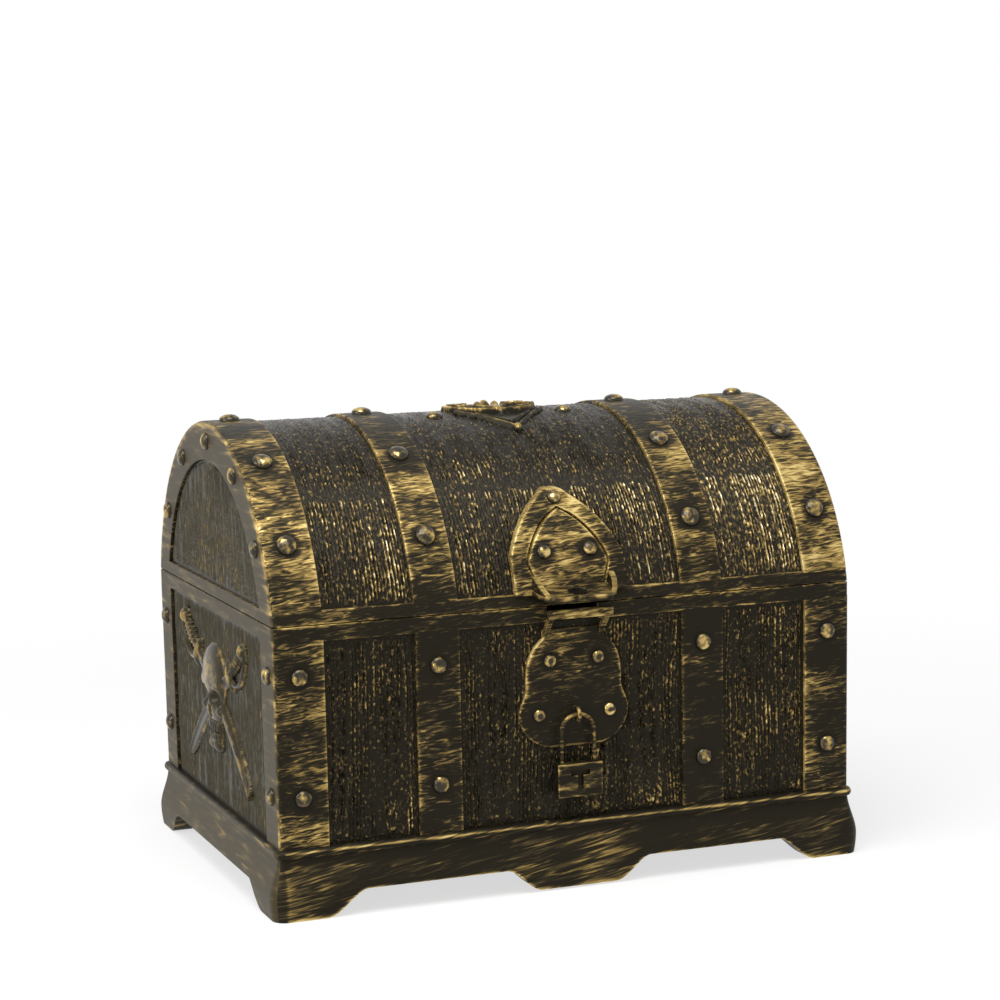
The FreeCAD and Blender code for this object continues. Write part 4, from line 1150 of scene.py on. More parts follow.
def case_wear(x, y, z):
    if y > case_low.y / MM + 0.2:
        return 0.12
    inside = min(case_high.x / MM - abs(x), z - case_low.z / MM, case_high.z / MM - z)
    return 0.3 + 0.4 * math.exp(-(inside / 0.5) ** 2) + 0.3 * noise.noise((x * 0.15, 0, z * 0.5))


brush(mesh, case_wear)
case = finished("padlock_case_keyed", mesh, lock_finish)
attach(case, "padlock")
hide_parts("padlock_case")

# Hasp frame
# A pointed frame is fixed to the lid's front round the hasp's shield, following the barrel.
# It is moulded with the lid; its rims carry bright gold lines and its face level streaks.
hasp_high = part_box("hasp_frame")[1]
HASP_PROUD = 0.8 * MM
HASP_EDGE = 0.35 * MM
HASP_SHOULDER = (14.2, 79.2)
HASP_BEND = (10.2, 86.6)
HASP_NECK = (3.6, 92.7)
SHIELD_FOOT = 7.4
SHIELD_WIDE = (10.0, 77.6)
SHIELD_BEND = (6.4, 84.4)
SHIELD_TIP = 89.5
SHIELD_GAP = 0.4


def arc_through(first, middle, last, count):
    """Points on the circle through three points, from first to last."""
    (ax, ay), (bx, by), (cx, cy) = first, middle, last
    twice = 2 * (ax * (by - cy) + bx * (cy - ay) + cx * (ay - by))
    a, b, c = ax * ax + ay * ay, bx * bx + by * by, cx * cx + cy * cy
    x = (a * (by - cy) + b * (cy - ay) + c * (ay - by)) / twice
    y = (a * (cx - bx) + b * (ax - cx) + c * (bx - ax)) / twice
    start = math.atan2(ay - y, ax - x)
    sweep = math.remainder(math.atan2(cy - y, cx - x) - start, math.tau)
    radius = math.hypot(ax - x, ay - y)
    turns = [start + sweep * i / count for i in range(count + 1)]
    return [(x + radius * math.cos(turn), y + radius * math.sin(turn)) for turn in turns]


def evenly(points, count):
    """The same line with its points spaced evenly along it."""
    points = [Vector(point) for point in points]
    lengths = [0.0]
    for one, two in zip(points, points[1:]):
        lengths.append(lengths[-1] + (two - one).length)
    spaced = []
    for i in range(count + 1):
        want = lengths[-1] * i / count
        k = max(j for j in range(len(points) - 1) if lengths[j] <= want + 1e-9)
        share = (want - lengths[k]) / max(lengths[k + 1] - lengths[k], 1e-12)
        spaced.append(points[k].lerp(points[k + 1], min(share, 1)))
    return spaced


def both_sides(half_line):
    """A line from its right foot up to the tip, carried on down the left side."""
    return half_line + [Vector((-point.x, point.y)) for point in reversed(half_line[:-1])]


foot_z, tip_z = lid_foot / MM - 0.3, hasp_high.z / MM
outer = [(HASP_SHOULDER[0], foot_z), HASP_SHOULDER]
outer += arc_through(HASP_SHOULDER, HASP_BEND, HASP_NECK, 20)[1:]
outer += arc_through(HASP_NECK, (HASP_NECK[0] * 0.71, tip_z - 0.35), (0, tip_z), 8)[1:]
shield_side = [(SHIELD_FOOT, foot_z), SHIELD_WIDE]
shield_side += arc_through(SHIELD_WIDE, SHIELD_BEND, (0, SHIELD_TIP), 24)[1:]
inner = [(x + SHIELD_GAP * (1 if z < SHIELD_TIP - 1 else 0), z + (SHIELD_GAP if z > SHIELD_WIDE[1] else 0))
         for x, z in shield_side]
outer_line, inner_line = both_sides(evenly(outer, 60)), both_sides(evenly(inner, 60))


def barrel_front(x, z, radius):
    """The point of the barrel's front at a height, at a radius from its axis; x and z are in millimetres."""
    rise = z * MM - lid_axis
    return Vector((x * MM, middle_y - math.sqrt(max(radius * radius - rise * rise, 0)), z * MM))


def frame_spot(station, share):
    return outer_line[station].lerp(inner_line[station], share / 2 + 0.5)


def frame_place(station, share, out):
    spot = frame_spot(station, share)
    return barrel_front(spot.x, spot.y, core_radius + out)


def frame_wear(station, share, out):
    spot = frame_spot(station, share)
    width = (outer_line[station] - inner_line[station]).length
    edge = math.exp(-((1 - abs(share)) * width / 2 / 0.5) ** 2)
    patch = noise.noise((spot.x * 0.1, spot.y * 0.16, 41))
    # Less gold on the right arm is painted shade on that side of the frame.
    gilding = 0.44 + 0.1 * eased(spot.y, 78, 90) - 0.12 * eased(spot.x, 2, 10)
    return gilding + 0.36 * edge * (0.8 + 0.8 * patch) + 0.34 * patch


frame_section = share_section(STRAP_RISE + HASP_PROUD, BOARD_SINK, 0.09, HASP_EDGE, 12)
mesh = swept(list(range(len(outer_line))), frame_section, frame_place, frame_wear)
strapwork("hasp_frame", "lid", mesh, strap_finish)

# Hasp leaf
# A pointed shield lies in the frame and bends out over the catch into a sloping tab with a hole and two ears.
# It is one moulding; gold lines run round the shield, and the tab is rubbed bright along its edges.
leaf_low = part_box("hasp_leaf")[0]
HASP_STUDS = ((0, 91.9), (-5.8, 80.2), (5.8, 80.2))
HASP_STUD_RADIUS = 1.8
SHIELD_PROUD = 0.9 * MM
SHIELD_CROWN = 0.12 * MM
TAB_ROOT_Z = 72.4 * MM
TAB_SLOPE = math.radians(12)
TAB_THICK = 1.5 * MM
TAB_HALF = 10.2 * MM
TAB_FRONT_HALF = 6.2 * MM
TAB_STRAIGHT = 0.1
TAB_LAP = 1.2 * MM
TAB_TURNS = list(range(0, 360, 4))
TAB_EDGE = 0.3 * MM
TAB_TRIAL = 0.05 * MM
HOLE_RADIUS = 2.35 * MM
HOLE_SHARE = 0.55
EAR_WIDTH = 1.3 * MM
EAR_HEIGHT = 2.8 * MM
EAR_SHARE = 0.75
EAR_EDGE = 0.22 * MM
shield_line = evenly(shield_side, 80)
tab_finish = dry_brushed("brushed_tab", (300, 900, 900), 1.3, metal=0.6, rough=0.32, distortion=0.8)


def shield_half(z):
    """Half the shield's width at a height, in millimetres."""
    for one, two in zip(shield_line, shield_line[1:]):
        if one.y <= z <= two.y:
            return one.lerp(two, (z - one.y) / max(two.y - one.y, 1e-9)).x
    return 0.0


def shield_place(z, share, out):
    x = share * max(shield_half(z), 0.02)
    crown = SHIELD_CROWN * (1 - share * share)
    return barrel_front(x, z, core_radius + out + (crown if out > STRAP_RISE else 0))


def shield_wear(z, share, out):
    x = share * shield_half(z)
    inside = (1 - abs(share)) * shield_half(z)
    edge = math.exp(-(inside / 0.5) ** 2) * (0.9 + 0.5 * noise.noise((x * 0.3, z * 0.3, 6)))
    patch = noise.noise((x * 0.08, z * 0.2, 51)) + 0.4 * noise.noise((x * 0.2, z * 0.5, 52))
    return 0.46 + 0.36 * edge + 0.4 * patch - 0.4 * stud_shade(x, z, HASP_STUDS, HASP_STUD_RADIUS)


steps = [foot_z + (SHIELD_TIP - 0.02 - foot_z) * (1 - (1 - i / 60) ** 1.5) for i in range(61)]
shield_section = share_section(STRAP_RISE + SHIELD_PROUD, BOARD_SINK, 0.04, HASP_EDGE, 30)
mesh = swept(steps, shield_section, shield_place, shield_wear)

root_y = barrel_front(0, TAB_ROOT_Z / MM, lid_radius + SHIELD_PROUD).y
tab_length = (root_y - leaf_low.y) / math.cos(TAB_SLOPE)
hole_at = HOLE_SHARE * tab_length


def tab_half(reach):
    """Half the tab's width at a distance from its root, rounded in towards the front."""
    share = max((reach / tab_length - TAB_STRAIGHT) / (1 - TAB_STRAIGHT), 0)
    return TAB_FRONT_HALF + (TAB_HALF - TAB_FRONT_HALF) * math.sqrt(max(1 - share * share, 0))


def tab_edge(degrees):
    """How far the tab's edge lies from the middle of its hole in a direction; 0 points to the front."""
    turn = math.radians(degrees)
    reach = 0.0
    for step in range(400):
        reach = step * TAB_TRIAL
        ahead, aside = hole_at + reach * math.cos(turn), abs(reach * math.sin(turn))
        if not -TAB_LAP <= ahead <= tab_length or aside > tab_half(min(max(ahead, 0), tab_length)):
            break
    return reach


def tab_point(ahead, aside, out):
    """A point of the tab: how far from its root, how far aside, and how far above its underside."""
    lift = out - TAB_THICK
    y = root_y - ahead * math.cos(TAB_SLOPE) + lift * -math.sin(TAB_SLOPE)
    return Vector((aside, y, TAB_ROOT_Z - ahead * math.sin(TAB_SLOPE) + lift * math.cos(TAB_SLOPE)))


tab_edges = {degrees: tab_edge(degrees) for degrees in TAB_TURNS}


def tab_place(degrees, share, out):
    turn = math.radians(degrees)
    reach = HOLE_RADIUS + (tab_edges[degrees] - HOLE_RADIUS) * (share + 1) / 2
    return tab_point(hole_at + reach * math.cos(turn), reach * math.sin(turn), out)


def tab_wear(degrees, share, out):
    if out < TAB_THICK * 0.4:
        return 0.1
    rim = math.exp(-((1 - share) * 2.2) ** 2)
    hole = math.exp(-((share + 1) * 6) ** 2)
    return 0.4 + 0.2 * rim - 0.25 * hole + 0.4 * noise.noise((degrees * 0.05, share, 8))


tab = swept(TAB_TURNS, share_section(TAB_THICK, 0, 0.1, TAB_EDGE, 14), tab_place, tab_wear, ring=True)


def ear(side):
    """The upturned edge on one side of the tab, highest at the root."""
    def place(share, across, out):
        ahead = share * EAR_SHARE * tab_length
        tall = TAB_THICK / 2 + EAR_HEIGHT * (1 - share ** 1.6)
        return tab_point(ahead, side * (tab_half(ahead) - EAR_WIDTH / 2) + across,
                         TAB_THICK / 2 + (out + 0.5) * tall)
    return swept([i / 20 for i in range(21)], box_section(EAR_WIDTH, 1.0, EAR_EDGE, 0.2), place,
                 lambda share, across, out: 0.22 + 0.4 * eased(out, 0.25, 0.5))


shield_faces = len(mesh.faces)
joined(mesh, tab, ear(-1), ear(1))
mesh.faces.ensure_lookup_table()
for face in mesh.faces[shield_faces:]:
    face.material_index = 1
strapwork("hasp_leaf", "lid", mesh, strap_finish, tab_finish)

# Nail heads of the hasp
# One head closes the frame's point and two hold the shield, like a pair of rivets.
# They are small domes, moulded with the hasp and rubbed gold.
HASP_STUD_RISE = 1.2 * MM
HASP_STUD_SINK = 0.05 * MM
places = []
for x, z in HASP_STUDS:
    spot = barrel_front(x, z, lid_radius + SHIELD_PROUD - HASP_STUD_SINK)
    places.append((spot, (0, spot.y - middle_y, spot.z - lid_axis)))
nail_heads("hasp_studs", "lid", places, HASP_STUD_RADIUS, HASP_STUD_RISE)

# Emblems on the ends
# A skull over two crossed sabres stands in relief on each end, a traditional sea-chest ornament.
# It is moulded with the wall and painted antique bronze, with gold on the high places and the blades.
RELIEF_CELL = 0.28 * MM
RELIEF_CUT = -0.4
RELIEF_ROOT = -0.6 * MM
EMBLEM_SPAN = (-33 * MM, 33 * MM)
EMBLEM_RISE = (21.5 * MM, 63 * MM)
EMBLEM_PROUD = 3.0
EMBLEM_DARK = (0.02, 0.016, 0.008)
SABRES = (
    {"hilt": Vector((-26.4, 60.2)), "tip": Vector((29.6, 23.4)), "bow": -1},
    {"hilt": Vector((26.8, 59.0)), "tip": Vector((-26.0, 23.6)), "bow": 1},
)
BLADE_HALF = 2.1
BLADE_SAG = 2.2
BLADE_RISE = 1.25
HILT_LENGTH = 15.0
HILT_LUMPS = {"guard": ((HILT_LENGTH, 0), 1.7, 4.8, 2.1), "pommel": ((1.2, 0), 2.3, 2.3, 2.3)}
GRIP_LUMP = ((HILT_LENGTH / 2, 0), HILT_LENGTH / 2, 1.7, 1.7, 0.4)
BOW_REACH = 5.2
BOW_HALF = 0.85
BOW_RISE = 1.5
SKULL_LUMPS = {
    "cranium": ((0, 48.2), 9.8, 8.4, 3.0, 0.45),
    "face": ((0, 42.0), 7.4, 6.4, 2.7, 0.4),
    "cheek": ((6.0, 40.4), 2.9, 2.0, 2.6, 0.6),
    "jaw": ((0, 35.4), 5.6, 5.2, 2.3, 0.35),
    "chin": ((2.0, 31.6), 3.0, 2.2, 2.3, 0.6),
}
SKULL_DIPS = {
    "socket": ((3.7, 43.4), 2.6, 2.1, 2.0),
    "nostril": ((0.55, 39.9), 0.85, 1.35, 1.4),
    "temple": ((9.0, 44.6), 1.6, 2.2, 0.5),
}
SKULL_FRONT = 1.3
BROW_HEIGHT = 46.2
TEETH_HALF = 4.6
TEETH_SPAN = (32.8, 37.0)
TEETH_MEET = 34.7
TOOTH_PITCH = 1.5
GUM_HALF = 4.0
GUM_HEIGHT = 37.3


def carved(across, along, cell, place, height_at, wear_at):
    """A closed relief: a grid raised to height_at(u, v) millimetres, cut away where it is below the wall."""
    columns = round((across[1] - across[0]) / cell)
    rows = round((along[1] - along[0]) / cell)
    mesh = bmesh.new()
    bmesh.ops.create_grid(mesh, x_segments=columns, y_segments=rows, size=0.5)
    wear = mesh.verts.layers.float.new("wear")
    u_mark = mesh.verts.layers.float.new("u")
    v_mark = mesh.verts.layers.float.new("v")
    low = []
    for vert in mesh.verts:
        u = across[0] + (vert.co.x + 0.5) * (across[1] - across[0])
        v = along[0] + (vert.co.y + 0.5) * (along[1] - along[0])
        height = height_at(u / MM, v / MM)
        if height < RELIEF_CUT:
            low.append(vert)
            continue
        vert[u_mark] = u
        vert[v_mark] = v
        vert[wear] = wear_at(u / MM, v / MM, height)
        vert.co = place(u, v, height * MM)
    while low:
        bmesh.ops.delete(mesh, geom=low, context="VERTS")
        low = [vert for vert in mesh.verts
               if not vert.link_faces or sum(edge.is_boundary for edge in vert.link_edges) > 2]
    whole = list(mesh.verts) + list(mesh.edges) + list(mesh.faces)
    made = bmesh.ops.extrude_face_region(mesh, geom=whole, use_keep_orig=True)
    for part in made["geom"]:
        if isinstance(part, bmesh.types.BMVert):
            part.co = place(part[u_mark], part[v_mark], RELIEF_ROOT)
    mesh.verts.layers.float.remove(mesh.verts.layers.float["u"])
    mesh.verts.layers.float.remove(mesh.verts.layers.float["v"])
    bmesh.ops.recalc_face_normals(mesh, faces=mesh.faces)
    return mesh


def mound(u, v, spot, half_u, half_v, top, roundness=0.6):
    """Height of a rounded lump over an oval; it falls away below zero outside."""
    reach = ((u - spot[0]) / half_u) ** 2 + ((v - spot[1]) / half_v) ** 2
    return top * (1 - reach) ** roundness if reach < 1 else -3 * (reach - 1)


def dip(u, v, spot, half_u, half_v, depth):
    reach = ((u - spot[0]) / half_u) ** 2 + ((v - spot[1]) / half_v) ** 2
    return depth * math.exp(-reach ** 2)


def sabre_height(u, v, sabre):
    """A curved blade with a rib, a shell guard, a wound grip, a pommel and a knuckle bow."""
    line = sabre["tip"] - sabre["hilt"]
    length = line.length
    ahead = line.normalized()
    aside = Vector((-ahead.y, ahead.x))
    spot = Vector((u, v)) - sabre["hilt"]
    t, n = spot.dot(ahead), spot.dot(aside) * sabre["bow"]
    blade_share = (t - HILT_LENGTH) / (length - HILT_LENGTH)
    n_blade = n + BLADE_SAG * 4 * blade_share * (1 - blade_share)
    half = BLADE_HALF * (1 + 0.25 * blade_share) * math.sqrt(max(1 - max(blade_share, 0) ** 6, 0.0))
    best = -1.0
    if -0.05 < blade_share < 1 and half > 0.05:
        side = abs(n_blade) / half
        edge = BLADE_RISE * (1 - side ** 6) if side < 1 else -3 * (side - 1)
        best = max(best, edge + 0.45 * math.exp(-((n_blade + half * 0.35) / 0.45) ** 2) * (side < 1))
    grip = mound(t, n, *GRIP_LUMP)
    if grip > 0:
        grip += 0.28 * math.sin(t * 4.2 + n * 1.2)
    best = max(best, grip, *(mound(t, n, *lump) for lump in HILT_LUMPS.values()))
    bow = math.hypot((t - HILT_LENGTH / 2) / (HILT_LENGTH / 2), n / BOW_REACH)
    off = abs(bow - 1) * BOW_REACH
    if n > 0:
        best = max(best, BOW_RISE * (1 - (off / BOW_HALF) ** 2))
    return best


def skull_heights(u, v):
    """The plain lump of a skull seen from the front, and the same with brow, sockets, nose and teeth."""
    side = abs(u)
    lump = max(mound(side, v, *part) for part in SKULL_LUMPS.values())
    if lump <= 0:
        return lump, lump
    brow = 0.35 * math.exp(-((v - BROW_HEIGHT - 0.09 * side * side + 0.5 * side) / 0.9) ** 2) * (side < 7.2)
    head = min(lump + brow, EMBLEM_PROUD)
    for part in SKULL_DIPS.values():
        head -= dip(side, v, *part)
    if side < TEETH_HALF:
        head -= 0.8 * math.exp(-((v - TEETH_MEET) / 0.4) ** 2)
        if TEETH_SPAN[0] < v < TEETH_SPAN[1]:
            head -= 0.55 * math.exp(-(math.remainder(u, TOOTH_PITCH) / 0.28) ** 2)
    if side < GUM_HALF:
        head -= 0.5 * math.exp(-((v - GUM_HEIGHT) / 0.35) ** 2)
    return lump, head


def emblem_height(u, v):
    lump, skull = skull_heights(u, v)
    if lump > SKULL_FRONT:
        return min(skull, EMBLEM_PROUD)
    lower, upper = sabre_height(u, v, SABRES[1]), sabre_height(u, v, SABRES[0])
    return min(max(lower, upper + (0.3 if upper > 0 else 0), skull), EMBLEM_PROUD)


def emblem_wear(u, v, height):
    patch = noise.noise((u * 0.25, v * 0.25, 61))
    if skull_heights(u, v)[0] > SKULL_FRONT:
        return 0.26 + 0.26 * eased(height, 1.9, 3.0) + 0.2 * patch
    return 0.1 + 0.5 * math.exp(-((height - 0.8) / 0.3) ** 2) + 0.46 * eased(height, 1.4, 1.9) + 0.24 * patch


emblem_finish = dry_brushed("brushed_emblem", (600, 600, 600), 0.9, metal=0.6, rough=0.24, relief=0.12,
                            dark=EMBLEM_DARK, gloss=0.25)
for side, face_x, out in (("left", -half_length, -1), ("right", half_length, 1)):
    mesh = carved(
        EMBLEM_SPAN, EMBLEM_RISE, RELIEF_CELL,
        lambda u, v, rise: Vector((face_x + out * rise, middle_y + out * u, v)), emblem_height, emblem_wear)
    emblem = finished(f"side_emblem_{side}_carved", mesh, emblem_finish)
    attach(emblem, "chest")
    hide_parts(f"side_emblem_{side}")

# Crest on the lid
# Two veined leaves, two scrolls, a palmette and a pointed hem lie over the crown between two nail heads.
# They are moulded with the lid as raised lines on a thin smooth shield, and the lines are rubbed gold.
CREST_SPAN = (-12.5 * MM, 12.5 * MM)
CREST_REACH = (-9.4 * MM, 21.6 * MM)
CREST_HALF = 12.2
CREST_FRONT = 21.6
CREST_BACK = 7.4
CREST_DARK = (0.011, 0.01, 0.0065)
CREST_GOLD = (0.7, 0.58, 0.31)
HEM = (Vector((11.4, 5.4)), Vector((0, 18.4)))
INNER_HEM = (Vector((7.0, 8.4)), Vector((0.6, 14.6)))
LINE_HALF = 0.62
LEAF_MIDDLE = Vector((6.2, 2.4))
LEAF_HALVES = (6.9, 3.3)
LEAF_TURN = math.radians(-33)
LEAF_OUTLINE = 1.6
LEAF_RIB = 1.25
VEIN_PITCH = 1.9
SCROLL_MIDDLE = Vector((7.2, -3.4))
SCROLL_RADIUS = 2.7
SCROLL_TURNS = (-2.9, 0.6)
CREST_LUMPS = {
    "scroll end": ((9.1, -2.3), 1.1, 1.1, 1.8, 0.5),
    "middle petal": ((0, -4.4), 1.2, 3.4, 2.4, 0.5),
    "side petal": ((2.3, -2.9), 1.0, 2.4, 2.1, 0.5),
    "stem": ((0, 4.2), 1.3, 4.6, 1.9, 0.5),
    "drop": ((0, 18.9), 1.2, 1.7, 1.8, 0.5),
}
CREST_STUD_X = 17.0 * MM
CREST_STUD_TURN = math.radians(7)


def drawn_line(away, top):
    """Height of a round raised line, by the distance from its middle."""
    return top * (1 - (away / LINE_HALF) ** 2)


def away_from(spot, one, two):
    """Distance of a spot from the straight between two points."""
    share = min(max((spot - one).dot(two - one) / (two - one).length_squared, 0.0), 1.0)
    return (spot - one.lerp(two, share)).length


def leaf_height(spot):
    """A pointed leaf with a raised outline, a rib and veins that lean towards its tip."""
    ahead = Vector((math.cos(LEAF_TURN), math.sin(LEAF_TURN)))
    along = (spot - LEAF_MIDDLE).dot(ahead)
    across = (spot - LEAF_MIDDLE).dot(Vector((-ahead.y, ahead.x)))
    past_tip = abs(along) - LEAF_HALVES[0]
    if past_tip > 0:
        return drawn_line(math.hypot(past_tip, across), LEAF_OUTLINE)
    half = LEAF_HALVES[1] * (1 - (along / LEAF_HALVES[0]) ** 2)
    outline = drawn_line(abs(abs(across) - half), LEAF_OUTLINE)
    if abs(across) > half:
        return outline
    body = 0.55 * (1 - (across / half) ** 2) ** 0.5
    body += 0.4 * math.exp(-(math.remainder(along - 0.8 * abs(across), VEIN_PITCH) / 0.32) ** 2)
    return max(outline, drawn_line(abs(across), LEAF_RIB), body)


def crest_height(u, v):
    spot = Vector((abs(u), v))
    ahead = v + 1.0
    if ahead > 0:
        flank = CREST_HALF * max(1 - ahead / CREST_FRONT, 0) ** 0.75
    else:
        flank = CREST_HALF * math.sqrt(max(1 - (ahead / CREST_BACK) ** 2, 0))
    inside = flank - spot.x
    plate = 0.16 * eased(inside, -1.0, 1.5) - 1.2 * eased(-inside, 0, 0.8)
    hem = max(drawn_line(away_from(spot, *HEM), 1.2), drawn_line(away_from(spot, *INNER_HEM), 1.1))
    curl = spot - SCROLL_MIDDLE
    turned = math.atan2(curl.y, curl.x)
    on_scroll = SCROLL_TURNS[0] < turned < SCROLL_TURNS[1]
    scroll = drawn_line(abs(curl.length - SCROLL_RADIUS), 1.8) if on_scroll else -1.0
    lumps = max(mound(spot.x, v, *lump) for lump in CREST_LUMPS.values())
    return max(plate, leaf_height(spot), hem, scroll, lumps)


def crest_wear(u, v, height):
    return 0.06 + 0.56 * eased(height, 0.75, 1.3) + 0.3 * noise.noise((u * 0.3, v * 0.3, 77))


crest_finish = dry_brushed("brushed_crest", (700, 700, 700), 0.8, metal=0.55, rough=0.3, relief=0.15,
                           dark=CREST_DARK, gloss=0.16, bright=CREST_GOLD)
mesh = carved(
    CREST_SPAN, CREST_REACH, RELIEF_CELL,
    lambda u, v, rise: lid_point(u, v / core_radius, core_radius + rise), crest_height, crest_wear)
crest = finished("lid_crest_carved", mesh, crest_finish)
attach(crest, "lid")
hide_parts("lid_crest")
places = [(lid_point(side * CREST_STUD_X, CREST_STUD_TURN, core_radius), barrel_outward(CREST_STUD_TURN))
          for side in (-1, 1)]
nail_heads("crest_studs", "lid", places, STUD_RADIUS, DOME_RISE)

# Hinges
# Two knuckle hinges hold the lid at the back, each a leaf on the box and a leaf on the lid on one pin.
# The leaves are moulded plastic with softened edges, rubbed with a little gold; the pins are steel wire.
HINGE_EDGE = 0.16 * MM
HARD_EDGE = math.radians(40)
WIRE_LINES = (60, 2600, 2600)
STEEL_SHADES = ((0.3, 0.29, 0.27), (0.55, 0.54, 0.52))
STEEL_ROUGHNESS = (0.28, 0.42)
hinge_finish = dry_brushed("brushed_hinges", (400, 400, 400), 1.0, metal=0.5, rough=0.4)


def softened(node):
    """A merged copy of a rigid part with its hard edges rounded a little."""
    mesh = bmesh.new()
    mesh.from_mesh(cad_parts[node].data)
    bmesh.ops.remove_doubles(mesh, verts=mesh.verts, dist=0.002 * MM)
    bmesh.ops.dissolve_limit(mesh, angle_limit=math.radians(1), verts=mesh.verts, edges=mesh.edges)
    hard = [edge for edge in mesh.edges if edge.is_manifold and edge.calc_face_angle() > HARD_EDGE]
    bmesh.ops.bevel(mesh, geom=hard, offset=HINGE_EDGE, affect="EDGES", segments=2, profile=0.5, material=-1,
                    clamp_overlap=True)
    wear = mesh.verts.layers.float.new("wear")
    for vert in mesh.verts:
        bend = max((edge.calc_face_angle(0) for edge in vert.link_edges), default=0)
        vert[wear] = 0.12 + 0.35 * eased(math.degrees(bend), 15, 50)
    return mesh


for side in ("left", "right"):
    for node, body in ((f"hinge_leaf_body_{side}", "chest"), (f"hinge_leaf_lid_{side}", "lid")):
        leaf = finished(node + "_softened", softened(node), hinge_finish)
        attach(leaf, body)
        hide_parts(node)
pin_finish, nodes, links = clouded("drawn_pin_steel", WIRE_LINES, 2, STEEL_SHADES, STEEL_ROUGHNESS)
nodes["Principled BSDF"].inputs["Metallic"].default_value = 1.0
for side in ("left", "right"):
    coated(f"hinge_pin_{side}", pin_finish)

# Floor
# A plain white table top that keeps the chest's soft shadow.
# Near the chest it shows more of its own shading, so that the shadow fades out into white.
FLOOR_HALF = 4
FLOOR_FADE = (0.1, 0.4, 0.66, 1.0)
floor_mesh = bmesh.new()
bmesh.ops.create_grid(floor_mesh, x_segments=1, y_segments=1, size=FLOOR_HALF)
floor_finish, nodes, links = new_finish("white_floor")
shader = nodes["Principled BSDF"]
shader.inputs["Base Color"].default_value = (0.9, 0.9, 0.9, 1)
shader.inputs["Roughness"].default_value = 0.9
shader.inputs["Specular IOR Level"].default_value = 0.0
glow = nodes.new("ShaderNodeEmission")
glow.inputs["Color"].default_value = (1, 1, 1, 1)
glow.inputs["Strength"].default_value = 1.0


def seen_directly(nodes, links):
    """1 for what the camera, a reflection or a clear piece sees, 0 for light that falls on the chest."""
    path = nodes.new("ShaderNodeLightPath")
    reflected = nodes.new("ShaderNodeMath")
    reflected.operation = "MAXIMUM"
    links.new(path.outputs["Is Glossy Ray"], reflected.inputs[0])
    links.new(path.outputs["Is Transmission Ray"], reflected.inputs[1])
    either = nodes.new("ShaderNodeMath")
    either.operation = "MAXIMUM"
    links.new(reflected.outputs[0], either.inputs[0])
    links.new(path.outputs["Is Camera Ray"], either.inputs[1])
    return either.outputs[0]


place = nodes.new("ShaderNodeTexCoord")
away = nodes.new("ShaderNodeVectorMath")
away.operation = "LENGTH"
links.new(place.outputs["Object"], away.inputs[0])
seen = nodes.new("ShaderNodeMath")
seen.operation = "MULTIPLY"
links.new(seen_directly(nodes, links), seen.inputs[0])
links.new(spread_of(nodes, links, away.outputs["Value"], *FLOOR_FADE), seen.inputs[1])
blend = nodes.new("ShaderNodeMixShader")
links.new(seen.outputs[0], blend.inputs[0])
links.new(shader.outputs[0], blend.inputs[1])
links.new(glow.outputs[0], blend.inputs[2])
links.new(blend.outputs[0], nodes["Material Output"].inputs["Surface"])
floor = finished("floor", floor_mesh, floor_finish)

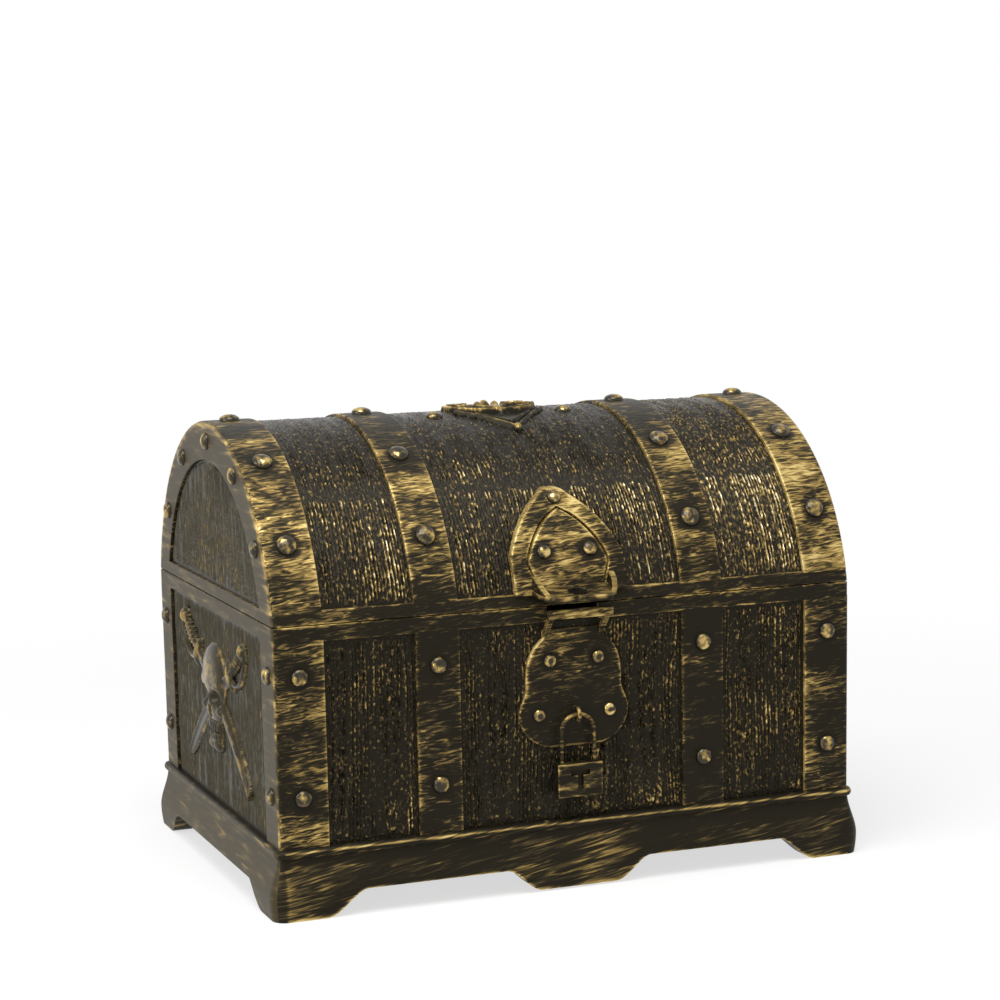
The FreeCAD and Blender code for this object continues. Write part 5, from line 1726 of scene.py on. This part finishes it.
# Light
# A wide soft lamp hangs over the chest, one stands at its left, and a small one stands low in front.
# The room is white to the eye and in reflections, and adds a dim even light.
ROOM_LIGHT = 0.4
LAMP_AIM = (0, 0, 0.05)
LAMPS = {
    "lamp_above": ((-0.15, -0.28, 0.75), 0.5, 5.5),
    "lamp_left": ((-0.8, -0.15, 0.5), 0.5, 3.0),
    "lamp_low": ((-0.65, -0.6, 0.14), 0.14, 0.5),
}
world = bpy.data.worlds.new("studio")
bpy.context.scene.world = world
world.use_nodes = True
nodes, links = world.node_tree.nodes, world.node_tree.links
room = nodes["Background"]
room.inputs["Color"].default_value = (1, 1, 1, 1)
room.inputs["Strength"].default_value = ROOM_LIGHT
white = nodes.new("ShaderNodeBackground")
white.inputs["Color"].default_value = (1, 1, 1, 1)
white.inputs["Strength"].default_value = 1.0
choice = nodes.new("ShaderNodeMixShader")
links.new(seen_directly(nodes, links), choice.inputs[0])
links.new(room.outputs[0], choice.inputs[1])
links.new(white.outputs[0], choice.inputs[2])
links.new(choice.outputs[0], nodes["World Output"].inputs["Surface"])
for name, (spot, size, power) in LAMPS.items():
    lamp = bpy.data.lights.new(name, "AREA")
    lamp.size = size
    lamp.energy = power
    holder = bpy.data.objects.new(name, lamp)
    holder.location = spot
    holder.rotation_euler = (Vector(LAMP_AIM) - Vector(spot)).to_track_quat("-Z", "Y").to_euler()
    bpy.context.scene.collection.objects.link(holder)

# Camera
# It stands to the left of the front and a little above the lid.
# It is shifted because the chest lies low in the frame.
VIEW_AZIMUTH = math.radians(-20.96)
VIEW_HEIGHT = math.radians(10.094)
VIEW_ROLL = math.radians(-1.115)
VIEW_DISTANCE = 662.0 * MM
VIEW_TARGET = Vector((0, middle_y, 52.05 * MM))
PIXELS = 1000
FOCAL_PIXELS = 2616.87
AXIS_PIXEL = (494.24, 636.14)
level = Vector((math.cos(VIEW_AZIMUTH), math.sin(VIEW_AZIMUTH), 0))
flat_back = Vector((math.sin(VIEW_AZIMUTH), -math.cos(VIEW_AZIMUTH), 0))
back = flat_back * math.cos(VIEW_HEIGHT) + Vector((0, 0, math.sin(VIEW_HEIGHT)))
roll = Matrix.Rotation(VIEW_ROLL, 3, back)
right, up = roll @ level, roll @ back.cross(level)
lens = bpy.data.cameras.new("camera")
lens.sensor_width = 36
lens.lens = lens.sensor_width * FOCAL_PIXELS / PIXELS
lens.shift_x = 0.5 - AXIS_PIXEL[0] / PIXELS
lens.shift_y = AXIS_PIXEL[1] / PIXELS - 0.5
camera = bpy.data.objects.new("camera", lens)
turn = Matrix((right, up, back)).transposed().to_4x4()
camera.matrix_world = Matrix.Translation(VIEW_TARGET + back * VIEW_DISTANCE) @ turn
bpy.context.scene.collection.objects.link(camera)
bpy.context.scene.camera = camera
bpy.context.scene.view_settings.view_transform = "Standard"
